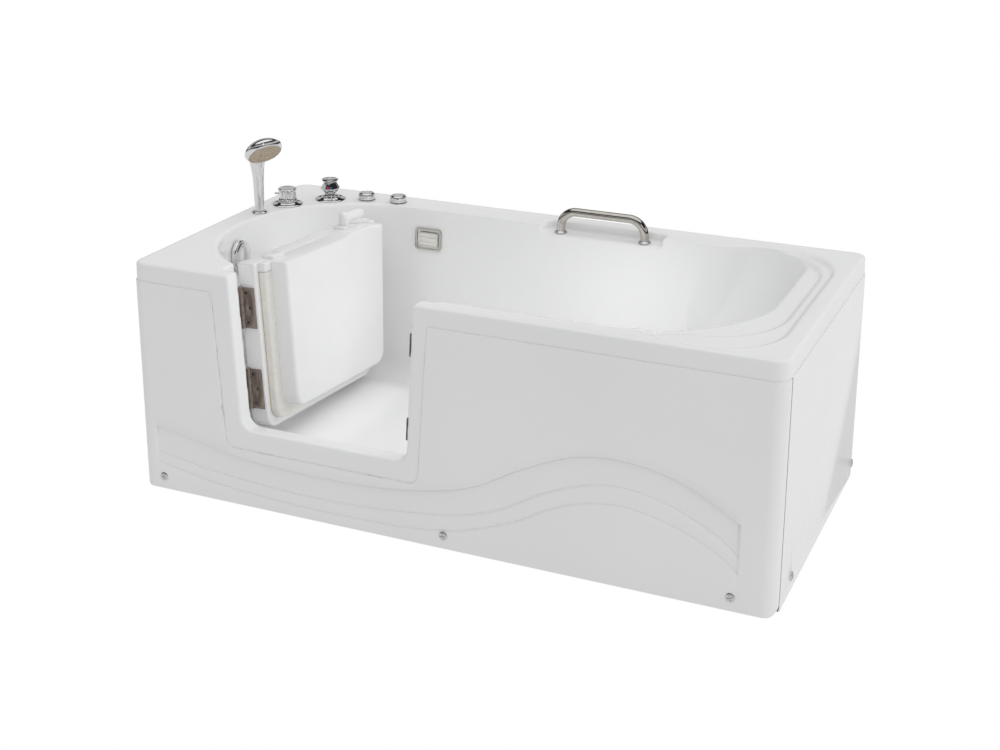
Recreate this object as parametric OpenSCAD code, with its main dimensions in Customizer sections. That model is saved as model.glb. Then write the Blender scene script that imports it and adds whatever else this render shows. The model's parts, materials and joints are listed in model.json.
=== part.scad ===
// Lay-down walk-in bathtub: moulded acrylic basin on a steel frame, inward
// swinging side door on two butt hinges, deck fittings and grab bar.
// Millimetres, +Z up, origin on the floor under the middle of the tub.
// +X is the backrest end, -Y the side with the door.

/* [Tub] */
// overall length, end to end
length = 1524; // [1440:4:1676]
// overall depth, front to wall
width = 762; // [742:2:812]
// height of the rim deck above the floor
rim_height = 556; // [540:1:600]
// thickness of the moulded shell
shell_t = 6; // [4:0.5:8]
// height of the turned-down lip
lip_height = 45; // [35:1:55]
// inside floor level above the ground
floor_z = 108; // [104:1:112]
// slope of the basin end and side walls, run over the full depth
wall_draft_run = 35; // [25:1:45]

/* [Door] */
// top of the door sill above the ground
sill_z = 190; // [184:1:200]
// lean of both jambs, wider at the rim
jamb_lean = 3.2; // [2.8:0.1:3.6]
// depth of the door reveal from the front face
reveal_depth = 44; // [42:0.5:46]
// angle the door stands open
door_open = 88; // [84:0.5:89]
// height of each butt hinge
hinge_h = 98; // [90:1:102]
// length of the lever arm
lever_len = 105; // [80:1:120]

/* [Fittings] */
// diameter of the grab bar tube
bar_d = 22; // [19:0.5:25]
// centre distance of the grab bar feet
bar_span = 217; // [190:1:230]
// diameter of the hand shower head
shower_d = 96; // [80:1:104]
// diameter of the valve flanges on the deck
flange_d = 78; // [70:1:80]
// diameter of the two small deck knobs
small_knob_d = 42; // [36:1:46]
// width of the cascade spout plate
spout_w = 72; // [64:1:84]
// diameter of the overflow cap
overflow_d = 78; // [66:1:84]

/* [Panels] */
// thickness of the side panels
panel_t = 4; // [3:0.5:5]
// depth of the wave recess in the front panel
wave_depth = 3; // [2:0.5:3.5]

/* [Hidden] */
$fn = 64;
xl = -length / 2;
xr = length / 2;
yf = -width / 2;
yb = width / 2;
zr = rim_height;
lt = tan(jamb_lean);
fit = 0.05;
seam_gap = 0.5;
deck_t = 7;
lip_in = 2;
corner_r = 31;
// basin plan: round foot end, straight sides, backrest end
cx = xl + 367;
R0 = (width - 146) / 2;
R1 = R0 - wall_draft_run;
cy = yf + 56 + R0;
slope = atan2(wall_draft_run, zr - floor_z);
fillet = 55;
// panels
panel_foot = 3;
skirt_foot_r = 18;
end_foot_r = 45;
// doorway
ys = yf + reveal_depth;
rebate_left = 41.02;
rebate_right = 36;
rebate_z = sill_z - 48;
// hinge axis, leaning with the left jamb
py = yf + 105;
pz = zr - 156;
px = xl + 260 + 156 * lt - 37.7;
hinge_up_z = zr - 110;
hinge_low_z = zr - 308;
barrel_r = 6;
leaf_t = 3;
leaf_w = 30;
// latch
bolt_y = yf + 23;
bolt_up_z = zr - 92;
bolt_low_z = zr - 288;
shaft_x = xl + 607;
shaft_y = yf + 56;
bolt_r = 6;
throw_r = 18;
// fittings on the deck
sh_x = xl + 50;
sh_y = yb - 288;
dv_x = xl + 76;
dv_y = yb - 195;
mx_x = xl + 153;
mx_y = yb - 109;
k1_x = xl + 242;
k1_y = yb - 76;
k2_x = xl + 328;
k2_y = yb - 65;
bar_x = xr - 632;
bar_y = yb - 76;
pocket_z = zr - 21;
spout_x = xl + 430;
spout_z = zr - 78;
over_z = zr - 76;
over_a = 184;
over_side = 14;
over_dome = 8;
over_drop = -33;
dr_ax = xl + 187;
dr_ay = cy - 41;
dr_bx = xl + 222;
dr_by = cy + 112;
waste_z = 54;
over_run_z = 62;
outlet_y = yb - 131;
outlet_r = 16.2;
outlet_len = 24;

// ---------- plan and section helpers ----------

// points along an arc
function arcp(x, y, r, a0, a1, n) =
  [for (i = [0:n]) [x + r * cos(a0 + (a1 - a0) * i / n),
                    y + r * sin(a0 + (a1 - a0) * i / n)]];

// half section of a drafted wall with a rounded foot, d outside the surface
function wallprof(r0, r1, rf, d, ztop, n) =
  let (a = atan2(r0 - r1, zr - floor_z),
       cr = r1 + (rf * sin(a) - rf) / cos(a),
       cz = floor_z + rf)
  concat([[0, floor_z - d]],
         arcp(cr, cz, rf + d, -90, -a, n),
         [[r0 + d / cos(a) + (ztop - zr) * tan(a), ztop], [0, ztop]]);

// smooth curve through points, n steps between two of them
function between(p, i, t) =
  let (a = p[max(i - 1, 0)], b = p[i], c = p[i + 1],
       d = p[min(i + 2, len(p) - 1)])
  0.5 * (2 * b + (c - a) * t + (2 * a - 5 * b + 4 * c - d) * t * t
         + (3 * b - a - 3 * c + d) * t * t * t);
function smooth(p, n) =
  concat([for (i = [0:len(p) - 2], j = [0:n - 1]) between(p, i, j / n)],
         [p[len(p) - 1]]);

function mirx(p) = [for (i = [len(p) - 1:-1:0]) [-p[i][0], p[i][1]]];

// left and right reveal lines of the doorway
function jl(z) = xl + 260 + (zr - z) * lt;
function jr(z) = xl + 717 - (zr - z) * lt;

// doorway shaped outline, ol and orr outside the reveals
function upoly(ol, orr, zb, r, zt) =
  concat([[jl(zt) - ol, zt]],
         arcp(jl(zb + r) - ol + r, zb + r, r, 180, 270, 8),
         arcp(jr(zb + r) + orr - r, zb + r, r, 270, 360, 8),
         [[jr(zt) + orr, zt]]);

module along_y(y0, y1)
  translate([0, y1, 0])
    rotate([90, 0, 0])
      linear_extrude(y1 - y0) children();

module along_x(x0, x1)
  translate([x0, 0, 0])
    rotate([90, 0, 90])
      linear_extrude(x1 - x0) children();

module up(z0, z1)
  translate([0, 0, z0])
    linear_extrude(z1 - z0) children();

module bar(x, y, z, sx, sy, sz)
  translate([x, y, z]) cube([sx, sy, sz]);

module cyl(x, y, z, r, h)
  translate([x, y, z]) cylinder(r = r, h = h);

module round_rect(x0, x1, y0, y1, r)
  polygon(concat(arcp(x1 - r, y1 - r, r, 0, 90, 6),
                 arcp(x0 + r, y1 - r, r, 90, 180, 6),
                 arcp(x0 + r, y0 + r, r, 180, 270, 6),
                 arcp(x1 - r, y0 + r, r, 270, 360, 6)));

// ---------- basin ----------

// plan outline of the backrest part
module plan_right(d)
  polygon(concat([[cx - 1, cy - R0 - d - 8], [xr - 367, cy - R0 - d - 8]],
                 arcp(xr - 432, cy + 37, 322 + d, -62, 0, 10),
                 arcp(xr - 225, yb - 166, 115 + d, 0, 90, 8),
                 [[cx - 1, yb - 51 + d]]));

// shoulder bulge behind the bather
module plan_bulge(d)
  polygon(concat([[xr - 400, cy], [xr - 400, cy + R0 - 12 + d],
                  [xr - 322, cy + R0 + 9 + d], [xr - 272, cy + R0 + 31 + d]],
                 arcp(xr - 225, yb - 166, 115 + d, 90, 0, 8),
                 [[xr - 110 + d, cy]]));

module backrest_prism(d, zt)
  along_y(yf - 20, yb + 20)
    translate([cx, 0])
      polygon(wallprof(xr - 110 - cx, xr - 262 - cx, 150, d, zt, 8));

module basin(d, zt) {
  translate([cx, cy, 0])
    rotate_extrude($fn = 96)
      polygon(wallprof(R0, R1, fillet, d, zt, 7));
  intersection() {
    along_x(cx, xr)
      translate([cy, 0])
        polygon(concat(wallprof(R0, R1, fillet, d, zt, 7),
                       mirx(wallprof(R0, R1, fillet, d, zt, 7))));
    backrest_prism(d, zt);
    up(floor_z - 20, zt + 1) plan_right(d);
  }
  intersection() {
    along_x(xr - 400, xr)
      translate([cy, 0])
        polygon(wallprof(R0 + 39, R1 - 11, 90, d, zt, 7));
    backrest_prism(d, zt);
    up(floor_z - 20, zt + 1) plan_bulge(d);
  }
}

// two arm and head rest ledges at the backrest end
module ledge_outer(d)
  polygon(concat([[xr - 322, cy], [xr - 322 - d, cy - 308],
                  [xr - 262, yf + 30 - d]],
                 arcp(xr - 194, yf + 174, 150 + d, 270, 360, 10),
                 arcp(xr - 194, yb - 199, 150 + d, 0, 90, 10),
                 [[xr - 222, yb - 55]]));

module ledge_inner(d)
  polygon(concat([[xr - 300, cy], [xr - 300 - d, cy - 303]],
                 arcp(xr - 242, yf + 271, 175 + d, 270, 360, 10),
                 arcp(xr - 217, yb - 213, 150 + d, 0, 90, 10),
                 [[xr - 232, yb - 66]]));

module cavity(zt) {
  basin(0, zt);
  up(zr - 7, zt) ledge_outer(0);
  up(zr - 14, zt) ledge_inner(0);
  // grab bar shelf in the rear deck
  up(pocket_z, zt)
    round_rect(bar_x - 154, bar_x + 156, yb - 130, yb - 46, 20);
}

module doorway(d, y0, y1, zt)
  along_y(y0, y1)
    polygon(upoly(d, d, sill_z - d, 30, zt));

module door_rebate(d, y0, y1, zt)
  along_y(y0, y1)
    polygon(upoly(rebate_left + d, rebate_right + d, rebate_z - d, 38, zt));

// seam outline of the shell apron round the doorway
module apron_outline(g, zt)
  polygon(concat([[xl + 213 - g, zt], [xl + 213 - g, zr - lip_height]],
                 arcp(xl + 259 - g, 165, 24, 190, 270, 6),
                 arcp(xl + 703 + g, 165, 24, 270, 350, 6),
                 [[xl + 753 + g, zr - lip_height], [xl + 753 + g, zt]]));

module rim_outline(d)
  round_rect(xl + lip_in - d, xr - lip_in + d,
             yf + lip_in - d, yb - lip_in + d, 30 + d);

module deck_hole(x, y, r) cyl(x, y, zr - 40, r, 60);

module tub_shell() color("white") difference() {
  union() {
    basin(shell_t, zr - 1);
    up(zr - deck_t, zr) rim_outline(0);
    difference() {
      up(zr - lip_height, zr) rim_outline(0);
      up(zr - lip_height - 1, zr + 1) rim_outline(-5);
    }
    up(zr - 13, zr - 1) ledge_outer(shell_t);
    up(zr - 20, zr - 1) ledge_inner(shell_t);
    up(pocket_z - 6, zr - 1)
      round_rect(bar_x - 160, bar_x + 162, yb - 120, yb - 40, 24);
    doorway(shell_t, yf + lip_in, ys, zr);
    door_rebate(shell_t, ys - shell_t, yf + 140, zr - 1);
    along_y(py - barrel_r - 4, yf + 140)
      polygon(upoly(rebate_left + 12, rebate_right + shell_t,
                    rebate_z - shell_t, 26, zr - 1));
    along_y(yf + lip_in, yf + lip_in + 6)
      apron_outline(0, zr - 2);
  }
  cavity(zr + 5);
  doorway(0, yf - 5, yf + 150, zr + 5);
  door_rebate(0, ys, yf + 146, zr + 5);
  // the jamb steps back behind the knuckles to let the door fold away
  door_rebate(0, ys + 1, yf + 146, zr + 5);
  along_y(py - barrel_r + 0.5, yf + 150)
    polygon(upoly(rebate_left + 6, rebate_right, rebate_z, 20, zr + 5));
  // holes for latch bolts
  for (z = [bolt_up_z, bolt_low_z])
    translate([jr(z) - 1, bolt_y, z])
      rotate([0, 90, 0]) cylinder(r = 9, h = 20);
  // hinge and strike screw holes
  for (zc = [hinge_up_z, hinge_low_z])
    hinge_frame(zc)
      for (s = screw_spots())
        translate([-12, s[0], s[1]])
          rotate([0, 90, 0]) cylinder(r = 2, h = 12);
  for (z = [bolt_up_z, bolt_low_z])
    for (s = [-18, 18])
      translate([jr(z + s) - 4, bolt_y, z + s])
        rotate([0, 90, 0]) cylinder(r = 1.8, h = 14);
  // deck holes
  deck_hole(sh_x, sh_y, 15);
  deck_hole(dv_x, dv_y, 16);
  deck_hole(mx_x, mx_y, 16);
  deck_hole(k1_x, k1_y, 8);
  deck_hole(k2_x, k2_y, 8);
  for (s = [-1, 1])
    cyl(bar_x + s * bar_span / 2, bar_y, pocket_z - 10, 4.5, 20);
  // spout, overflow and drains
  spout_frame() bar(-28, -20, -18, 56, 40, 36);
  overflow_frame() translate([0, 0, -20]) cylinder(r = 24, h = 40);
  for (p = [[dr_ax, dr_ay], [dr_bx, dr_by]])
    cyl(p[0], p[1], floor_z - 20, 24, 40);
}

// ---------- frames of reference ----------

// follows the hinge axis, x away from the jamb, y towards the basin
module hinge_frame(z)
  translate([px, py, pz])
    rotate([0, -jamb_lean, 0])
      translate([0, 0, (z - pz) / cos(jamb_lean)]) children();

// swings what is drawn shut to where the door stands
module swung()
  translate([px, py, pz])
    rotate([0, -jamb_lean, 0])
      rotate([0, 0, door_open])
        rotate([0, jamb_lean, 0])
          translate([-px, -py, -pz]) children();

module spout_frame()
  translate([spout_x, cy + R0 - (zr - spout_z) * tan(slope), spout_z])
    rotate([-slope, 0, 0]) children();

module overflow_frame()
  translate([cx, cy, 0])
    rotate([0, 0, over_a])
      translate([R0 - (zr - over_z) * tan(slope), 0, over_z])
        rotate([0, slope - 90, 0]) children();

// ---------- panels ----------

// crest and troughs of the wave, through a few points of a smooth curve
function wave_top() = smooth([[41, 159], [145, 143], [265, 120], [468, 111],
  [672, 120], [845, 158], [972, 227], [1094, 278], [1214, 286],
  [1330, 259], [1441, 198]], 4);
function wave_mid() = smooth([[45, 93], [225, 68], [502, 57], [780, 80],
  [909, 118], [1034, 188], [1150, 225], [1267, 216], [1390, 165],
  [1444, 124]], 4);
function wave_low() = smooth([[46, 67], [224, 40], [502, 28], [780, 43],
  [941, 96], [1065, 162], [1180, 186], [1286, 169], [1391, 127],
  [1449, 83]], 4);
function rev(p) = [for (i = [len(p) - 1:-1:0]) p[i]];
function on_front(p) = [for (q = p) [xl + q[0] * length / 1524, q[1]]];
function cap_x() = [xl + 59, xl + 787, xr - 93];
function cap_y() = [yf + 136, yb - 29];

module panel_ring(g)
  difference() {
    round_rect(xl + g, xr - g, yf + g, yb - g, corner_r);
    round_rect(xl + panel_t + g, xr - panel_t - g, yf + panel_t + g,
               yb - panel_t - g, corner_r - panel_t);
  }

module front_skirt() color("white") difference() {
  union() {
    intersection() {
      up(panel_foot, zr - lip_height - seam_gap) panel_ring(0);
      bar(xl - 1, yf - 1, 0, length + 2, corner_r + 1, zr);
      // the foot rises a little round both corners
      along_y(yf - 1, yf + corner_r)
        round_rect(xl, xr, panel_foot, zr + skirt_foot_r, skirt_foot_r);
    }
    // stiffening rib of the wave field on the back
    along_y(yf + panel_t - 0.5, yf + panel_t + 3)
      polygon(on_front(concat(wave_top(), rev(wave_mid()))));
  }
  along_y(yf - 1, yf + panel_t + 5) apron_outline(seam_gap, zr);
  along_y(yf - 1, yf + wave_depth)
    polygon(on_front(concat(wave_top(), rev(wave_mid()))));
  along_y(yf - 1, yf + wave_depth / 2)
    polygon(on_front(concat(wave_mid(), rev(wave_low()))));
  for (x = cap_x())
    translate([x, yf - 1, 34])
      rotate([-90, 0, 0]) cylinder(r = 2.6, h = 12);
}

module end_panel(s) difference() {
  intersection() {
    up(panel_foot, zr - lip_height - seam_gap) panel_ring(0);
    bar(s > 0 ? xr - corner_r : xl - 1, yf + corner_r + seam_gap, 0,
        corner_r + 1, width, zr);
    // the rear bottom corner is rounded off
    along_x(xl, xr)
      round_rect(yf - 2 * end_foot_r, yb, panel_foot, zr + end_foot_r,
                 end_foot_r);
  }
  for (y = cap_y())
    translate([s > 0 ? xr - 9 : xl - 1, y, 34])
      rotate([0, 90, 0]) cylinder(r = 2.6, h = 10);
}

module end_panel_right() color("white") end_panel(1);
module end_panel_left() color("white") end_panel(-1);

// ---------- support frame ----------

tube = 20;
wall = 2;
fr_x = xr - 15 - tube;
fr_y0 = yf + 15;
fr_y1 = yb - 15 - tube;
low_z = 25;
top_z = zr - 40;
weld = 0.05;

module tube_x(x0, x1, y, z) difference() {
  bar(x0, y, z, x1 - x0, tube, tube);
  bar(x0 - 1, y + wall, z + wall, x1 - x0 + 2, tube - 2 * wall,
      tube - 2 * wall);
}

module tube_y(x, y0, y1, z) difference() {
  bar(x, y0, z, tube, y1 - y0, tube);
  bar(x + wall, y0 - 1, z + wall, tube - 2 * wall, y1 - y0 + 2,
      tube - 2 * wall);
}

module post(x, y, z1) difference() {
  bar(x, y, low_z + tube, tube, tube, z1 - low_z - tube - weld);
  bar(x + wall, y + wall, low_z, tube - 2 * wall, tube - 2 * wall, z1);
}

function bearer_x() = [xl + 270, xl + 560, xl + 860, xr - 380];
function foot_x() = [xl + 120, -20, xr - 140];
function foot_y() = [fr_y0 + tube / 2, fr_y1 + tube / 2];

module base_ring() color("silver") difference() {
  union() {
    tube_x(-fr_x, fr_x, fr_y0, low_z);
    tube_x(-fr_x, fr_x, fr_y1, low_z);
    for (x = [-fr_x - tube, fr_x])
      tube_y(x, fr_y0, fr_y1 + tube, low_z);
  }
  for (x = foot_x(), y = foot_y())
    cyl(x, y, low_z - 1, 6.1, tube + 2);
  for (x = cap_x())
    translate([x, fr_y0 - 1, 34])
      rotate([-90, 0, 0]) cylinder(r = 2.05, h = 8);
  for (y = cap_y()) {
    translate([fr_x + tube - 6, y, 34])
      rotate([0, 90, 0]) cylinder(r = 2.05, h = 8);
    translate([-fr_x - tube - 1, y, 34])
      rotate([0, 90, 0]) cylinder(r = 2.05, h = 8);
  }
}

module floor_bearers() color("silver")
  for (x = bearer_x())
    tube_y(x, fr_y0, fr_y1 + tube, floor_z - shell_t - tube);

module frame_posts() color("silver") {
  for (x = bearer_x(), y = [fr_y0, fr_y1])
    post(x, y, floor_z - shell_t - tube);
  for (x = [-fr_x - tube, fr_x], y = [fr_y0, fr_y1])
    post(x, y, top_z);
  post(xl + 165, fr_y0, top_z);
  post(xl + 780, fr_y0, top_z);
  post(30, fr_y1, top_z);
}

module top_rails() color("silver") {
  tube_x(-fr_x, fr_x, fr_y1, top_z);
  tube_x(xl + 780, fr_x, fr_y0, top_z);
  tube_x(-fr_x, xl + 185, fr_y0, top_z);
  for (x = [-fr_x - tube, fr_x])
    tube_y(x, fr_y0, fr_y1 + tube, top_z);
}

module rim_battens() color("tan") {
  bz = top_z + tube;
  bh = zr - deck_t - bz;
  bar(-fr_x, fr_y1, bz, 2 * fr_x, tube, bh);
  bar(-fr_x - tube, fr_y0, bz, tube - weld, fr_y1 + tube - fr_y0, bh);
  bar(-fr_x, fr_y0, bz, xl + 185 + fr_x, tube, bh);
  bar(xl + 780, fr_y0, bz, 320, tube - 6, bh);
  bar(fr_x + 3, fr_y0 + 120, bz, tube - 3, 440, bh);
}

module leveling_feet() color("dimgray")
  for (x = foot_x(), y = foot_y()) {
    cyl(x, y, 0, 19.5, 5);
    translate([x, y, 5]) cylinder(r1 = 15, r2 = 9, h = 4);
    cyl(x, y, 8.9, 6, low_z + tube - 3);
  }

module feet_locknuts() color("silver")
  for (x = foot_x(), y = foot_y())
    difference() {
      translate([x, y, low_z - 9]) cylinder(r = 10.5, h = 9, $fn = 6);
      cyl(x, y, low_z - 10, 6.02, 12);
    }

module screw_cap() {
  rotate([0, 180, 0]) {
    rotate_extrude()
      polygon([[0, 0], [9.5, 0], [9.5, 0.8], [8.3, 2], [5.5, 2.7], [0, 3]]);
  }
  cylinder(r = 2, h = 26);
}

module panel_screws() color("silver") {
  for (x = cap_x())
    translate([x, yf, 34]) rotate([-90, 0, 0]) screw_cap();
  for (y = cap_y()) {
    translate([xr, y, 34]) rotate([0, -90, 0]) screw_cap();
    translate([xl, y, 34]) rotate([0, 90, 0]) screw_cap();
  }
}

// ---------- spout, overflow, drains ----------

module waterfall_spout() color("silver") spout_frame() difference() {
  union() {
    along_y(-6, 0) round_rect(-spout_w / 2, spout_w / 2, -28, 28, 5);
    bar(-27.5, -1, -17.5, 55, 38, 35);
    translate([0, 36, 0]) rotate([-90, 0, 0]) cylinder(r = 10, h = 22);
  }
  bar(-25, -10, -15, 50, 44, 30);
  translate([0, 30, 0]) rotate([-90, 0, 0]) cylinder(r = 7, h = 40);
}

module spout_louvre() color("silver") spout_frame() {
  bar(-25, 20, -15, 50, 2, 12);
  for (i = [0:2])
    bar(-25, -1 + 4 * i, -12 + 8 * i, 50, 12, 2.5);
  bar(-25, -1, -15, 2, 23, 30);
  bar(23, -1, -15, 2, 23, 30);
}

// thick rim under a flat dome
dome_r = (pow(overflow_d / 2, 2) + pow(over_dome, 2)) / (2 * over_dome);

module overflow_cap() color("silver") overflow_frame() difference() {
  rotate_extrude()
    polygon(concat([[0, 3], [17, 3], [17, 5], [overflow_d / 2 - 3, 5],
                    [overflow_d / 2, 3]],
                   arcp(0, over_side + over_dome - dome_r, dome_r,
                        acos(overflow_d / 2 / dome_r), 90, 6)));
  translate([0, 0, 1]) cylinder(r = 6 + fit, h = 9);
}

module overflow_body() color("dimgray") overflow_frame() {
  difference() {
    union() {
      rotate_extrude()
        polygon([[0, -46], [23.5, -46], [23.5, 1.7], [30, 1.7], [30, 4.3],
                 [0, 4.3]]);
      translate([0, 0, over_drop])
        rotate([0, -90, 0]) cylinder(r = 10, h = 38);
    }
    translate([0, 0, -42]) cylinder(r = 19, h = 50);
    translate([0, 0, over_drop])
      rotate([0, -90, 0]) cylinder(r = 7.5, h = 50);
  }
  translate([0, 0, -43]) cylinder(r = 6, h = 52);
}

module drain_flange(x, y) difference() {
  union() {
    translate([x, y, floor_z])
      rotate_extrude()
        polygon([[18, 0], [34, 0], [34, 1], [32, 2.5], [18, 2.5]]);
    cyl(x, y, floor_z - 34, 23.5, 34.5);
    cyl(x, y, floor_z - 16, 30, 16 - shell_t);
  }
  cyl(x, y, floor_z - 30, 19, 60);
}

module drain_spider(x, y) {
  for (a = [0, 60, 120])
    translate([x, y, floor_z - 20])
      rotate([0, 0, a]) bar(-19.5, -1, 0, 39, 2, 4);
  difference() {
    cyl(x, y, floor_z - 20, 6, 10);
    cyl(x, y, floor_z - 40, 3 + fit, 60);
  }
}

module drain_body(x, y) difference() {
  union() {
    drain_flange(x, y);
    drain_spider(x, y);
  }
  cyl(x, y, floor_z - 40, 3 + fit, 60);
}

module drain_flange_a() color("silver") drain_body(dr_ax, dr_ay);
module drain_flange_b() color("silver") drain_body(dr_bx, dr_by);

module drain_plug(x, y) {
  translate([x, y, floor_z + 2.9])
    rotate_extrude()
      polygon([[0, 0], [24, 0], [25, 1], [24, 2.5], [16, 4.4], [0, 5.4]]);
  cyl(x, y, floor_z - 28, 3, 31);
}

module drain_plug_a() color("silver") drain_plug(dr_ax, dr_ay);
module drain_plug_b() color("silver") drain_plug(dr_bx, dr_by);

over_r = R0 - (zr - over_z) * tan(slope) - over_drop + 1;
over_px = cx + over_r * cos(over_a);
over_py = cy + over_r * sin(over_a);

module level_pipe(x0, y0, x1, y1, z, r)
  translate([x0, y0, z])
    rotate([0, 0, atan2(y1 - y0, x1 - x0)])
      rotate([0, 90, 0]) cylinder(r = r, h = norm([x1 - x0, y1 - y0]));

// two tees under the drains, the run between them and the overflow riser
module waste_pipe() color("dimgray") difference() {
  union() {
    for (p = [[dr_ax, dr_ay], [dr_bx, dr_by]])
      cyl(p[0], p[1], waste_z - 20, 23.5, floor_z - 34 - waste_z + 20);
    level_pipe(dr_ax, dr_ay, dr_bx, dr_by, waste_z, 16);
    level_pipe(dr_bx, dr_by, dr_bx, outlet_y - 12, waste_z, 16);
    level_pipe(over_px, over_py, dr_ax, dr_ay, over_run_z, 11);
    cyl(over_px, over_py, over_run_z - 14, 16.3,
        over_z - 30 - over_run_z + 14);
  }
  for (p = [[dr_ax, dr_ay], [dr_bx, dr_by]])
    cyl(p[0], p[1], waste_z - 17, 20, 60);
  level_pipe(dr_ax, dr_ay, dr_bx, dr_by, waste_z, 13);
  level_pipe(dr_bx, dr_by, dr_bx, outlet_y, waste_z, 13);
  level_pipe(over_px, over_py, dr_ax, dr_ay, over_run_z, 8.5);
  cyl(over_px, over_py, over_run_z - 11, 14, over_z);
}

// elbow that turns the run down into the floor waste
module waste_outlet() color("dimgray") difference() {
  union() {
    cyl(dr_bx, outlet_y, 10, 20, waste_z + 8);
    level_pipe(dr_bx, outlet_y - 34, dr_bx, outlet_y, waste_z, 19);
    cyl(dr_bx, outlet_y, 10, 22.5, 6);
  }
  cyl(dr_bx, outlet_y, 9, outlet_r, outlet_len + 1);
  cyl(dr_bx, outlet_y, 9, 13, waste_z + 4);
  level_pipe(dr_bx, outlet_y - 40, dr_bx, outlet_y - 11, waste_z, 16 + fit);
  level_pipe(dr_bx, outlet_y - 40, dr_bx, outlet_y, waste_z, 12.9);
}

// ---------- grab bar ----------

bar_r = bar_d / 2;
bar_bend = 42;
bar_top = pocket_z + 78;

module bend(x, s)
  translate([x, bar_y, bar_top - bar_bend])
    rotate([90, 0, 0])
      translate([-s * bar_bend, 0, 0])
        rotate([0, 0, s > 0 ? 0 : 90])
          rotate_extrude(angle = 90)
            translate([bar_bend, 0]) circle(r = bar_r);

module grab_bar() color("silver") difference() {
  union() {
    for (s = [-1, 1]) {
      cyl(bar_x + s * bar_span / 2, bar_y, pocket_z + 2, bar_r,
          bar_top - bar_bend - pocket_z - 2);
      bend(bar_x + s * bar_span / 2, s);
    }
    translate([bar_x - bar_span / 2 + bar_bend, bar_y, bar_top])
      rotate([0, 90, 0]) cylinder(r = bar_r, h = bar_span - 2 * bar_bend);
  }
  for (s = [-1, 1])
    cyl(bar_x + s * bar_span / 2, bar_y, pocket_z, 4 + fit, 20);
}

module grab_bar_collars() color("silver")
  for (s = [-1, 1])
    translate([bar_x + s * bar_span / 2, bar_y, 0]) {
      difference() {
        cyl(0, 0, pocket_z, bar_r + 3.5, 6);
        cyl(0, 0, pocket_z + 2, bar_r + fit, 6);
      }
      cyl(0, 0, pocket_z - 16, 4, 34);
      translate([0, 0, pocket_z - 12]) cylinder(r = 8, h = 6, $fn = 6);
    }

// ---------- deck valves ----------

module deck_flange(x, y, r) translate([x, y, zr])
  difference() {
    rotate_extrude()
      polygon([[0, 0], [r, 0], [r, 1.5], [r - 3, 3.2], [r - 12, 4.4],
               [r - 15, 7], [0, 7]]);
    translate([0, 0, -1]) cylinder(r = 14.5, h = 12);
  }

module valve(x, y, stem_h) {
  cyl(x, y, zr - 62, 24, 62 - deck_t);
  cyl(x, y, zr - deck_t - 1, 14, deck_t + 5);
  cyl(x, y, zr, 7, stem_h);
  for (a = [20, 200])
    translate([x, y, zr - 44])
      rotate([0, 90, a]) cylinder(r = 8, h = 34);
}

module diverter_flange() color("silver") deck_flange(dv_x, dv_y, flange_d / 2);
module diverter_valve() color("goldenrod") valve(dv_x, dv_y, 30);

module diverter_knob() color("silver") translate([dv_x, dv_y, zr])
  difference() {
    union() {
      translate([0, 0, 7.5]) cylinder(r = 24, h = 4);
      intersection() {
        translate([0, 0, 7.5]) cylinder(r1 = 24.5, r2 = 22, h = 35);
        translate([0, 0, 7.5]) cylinder(r = 24.2, h = 35, $fn = 12);
      }
      translate([0, 0, 29])
        rotate([90, 0, 300]) cylinder(r = 2.6, h = 33);
    }
    translate([0, 0, 5]) cylinder(r = 7 + fit, h = 26);
  }

module mixer_flange() color("silver") deck_flange(mx_x, mx_y, flange_d / 2);
module mixer_valve() color("goldenrod") valve(mx_x, mx_y, 34);

module mixer_knob() color("silver") translate([mx_x, mx_y, zr])
  difference() {
    union() {
      translate([0, 0, 7.5]) cylinder(r1 = 20, r2 = 15, h = 7);
      translate([0, 0, 14]) cylinder(r1 = 15, r2 = 26, h = 16, $fn = 8);
      translate([0, 0, 30]) cylinder(r1 = 26, r2 = 16, h = 16, $fn = 8);
      translate([0, 0, 46]) cylinder(r = 14, h = 3);
    }
    translate([0, 0, 5]) cylinder(r = 7 + fit, h = 30);
  }

module mixer_cap() color("silver") translate([mx_x, mx_y, zr + 49])
  rotate_extrude()
    polygon([[0, 0], [18, 0], [21, 1.5], [21.5, 3.2], [20, 5], [0, 6.5]]);

module small_base(x, y) difference() {
  union() {
    cyl(x, y, zr, small_knob_d / 2 + 1.5, 3);
    cyl(x, y, zr - 34, 7.5, 34.5);
    translate([x, y, zr - deck_t - 7]) cylinder(r = 14, h = 7, $fn = 6);
  }
  cyl(x, y, zr - 40, 4 + fit, 60);
}

module small_knob(x, y) {
  translate([x, y, zr + 3.4])
    rotate_extrude()
      polygon([[0, 0], [small_knob_d / 2, 0], [small_knob_d / 2, 11],
               [small_knob_d / 2 - 3, 15], [small_knob_d / 2 - 7, 16.5],
               [0, 16.5]]);
  cyl(x, y, zr - 38, 4, 42);
}

module drain_knob_base_a() color("silver") small_base(k1_x, k1_y);
module drain_knob_base_b() color("silver") small_base(k2_x, k2_y);
module drain_knob_a() color("silver") small_knob(k1_x, k1_y);
module drain_knob_b() color("silver") small_knob(k2_x, k2_y);

// ---------- hand shower ----------

head_tilt = 48;
head_turn = -32;

module shower_holder() color("silver") translate([sh_x, sh_y, zr])
  difference() {
    rotate_extrude()
      polygon([[0, -60], [14, -60], [14, 0], [20.5, 0], [20.5, 2],
               [17, 5], [0, 5]]);
    translate([0, 0, -50]) cylinder(r = 11 + fit, h = 60);
    translate([0, 0, -61]) cylinder(r = 8, h = 20);
  }

function head_back() = [[0, -20], [14, -18.5], [28, -13], [40, -4],
                        [shower_d / 2, 6]];

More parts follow.
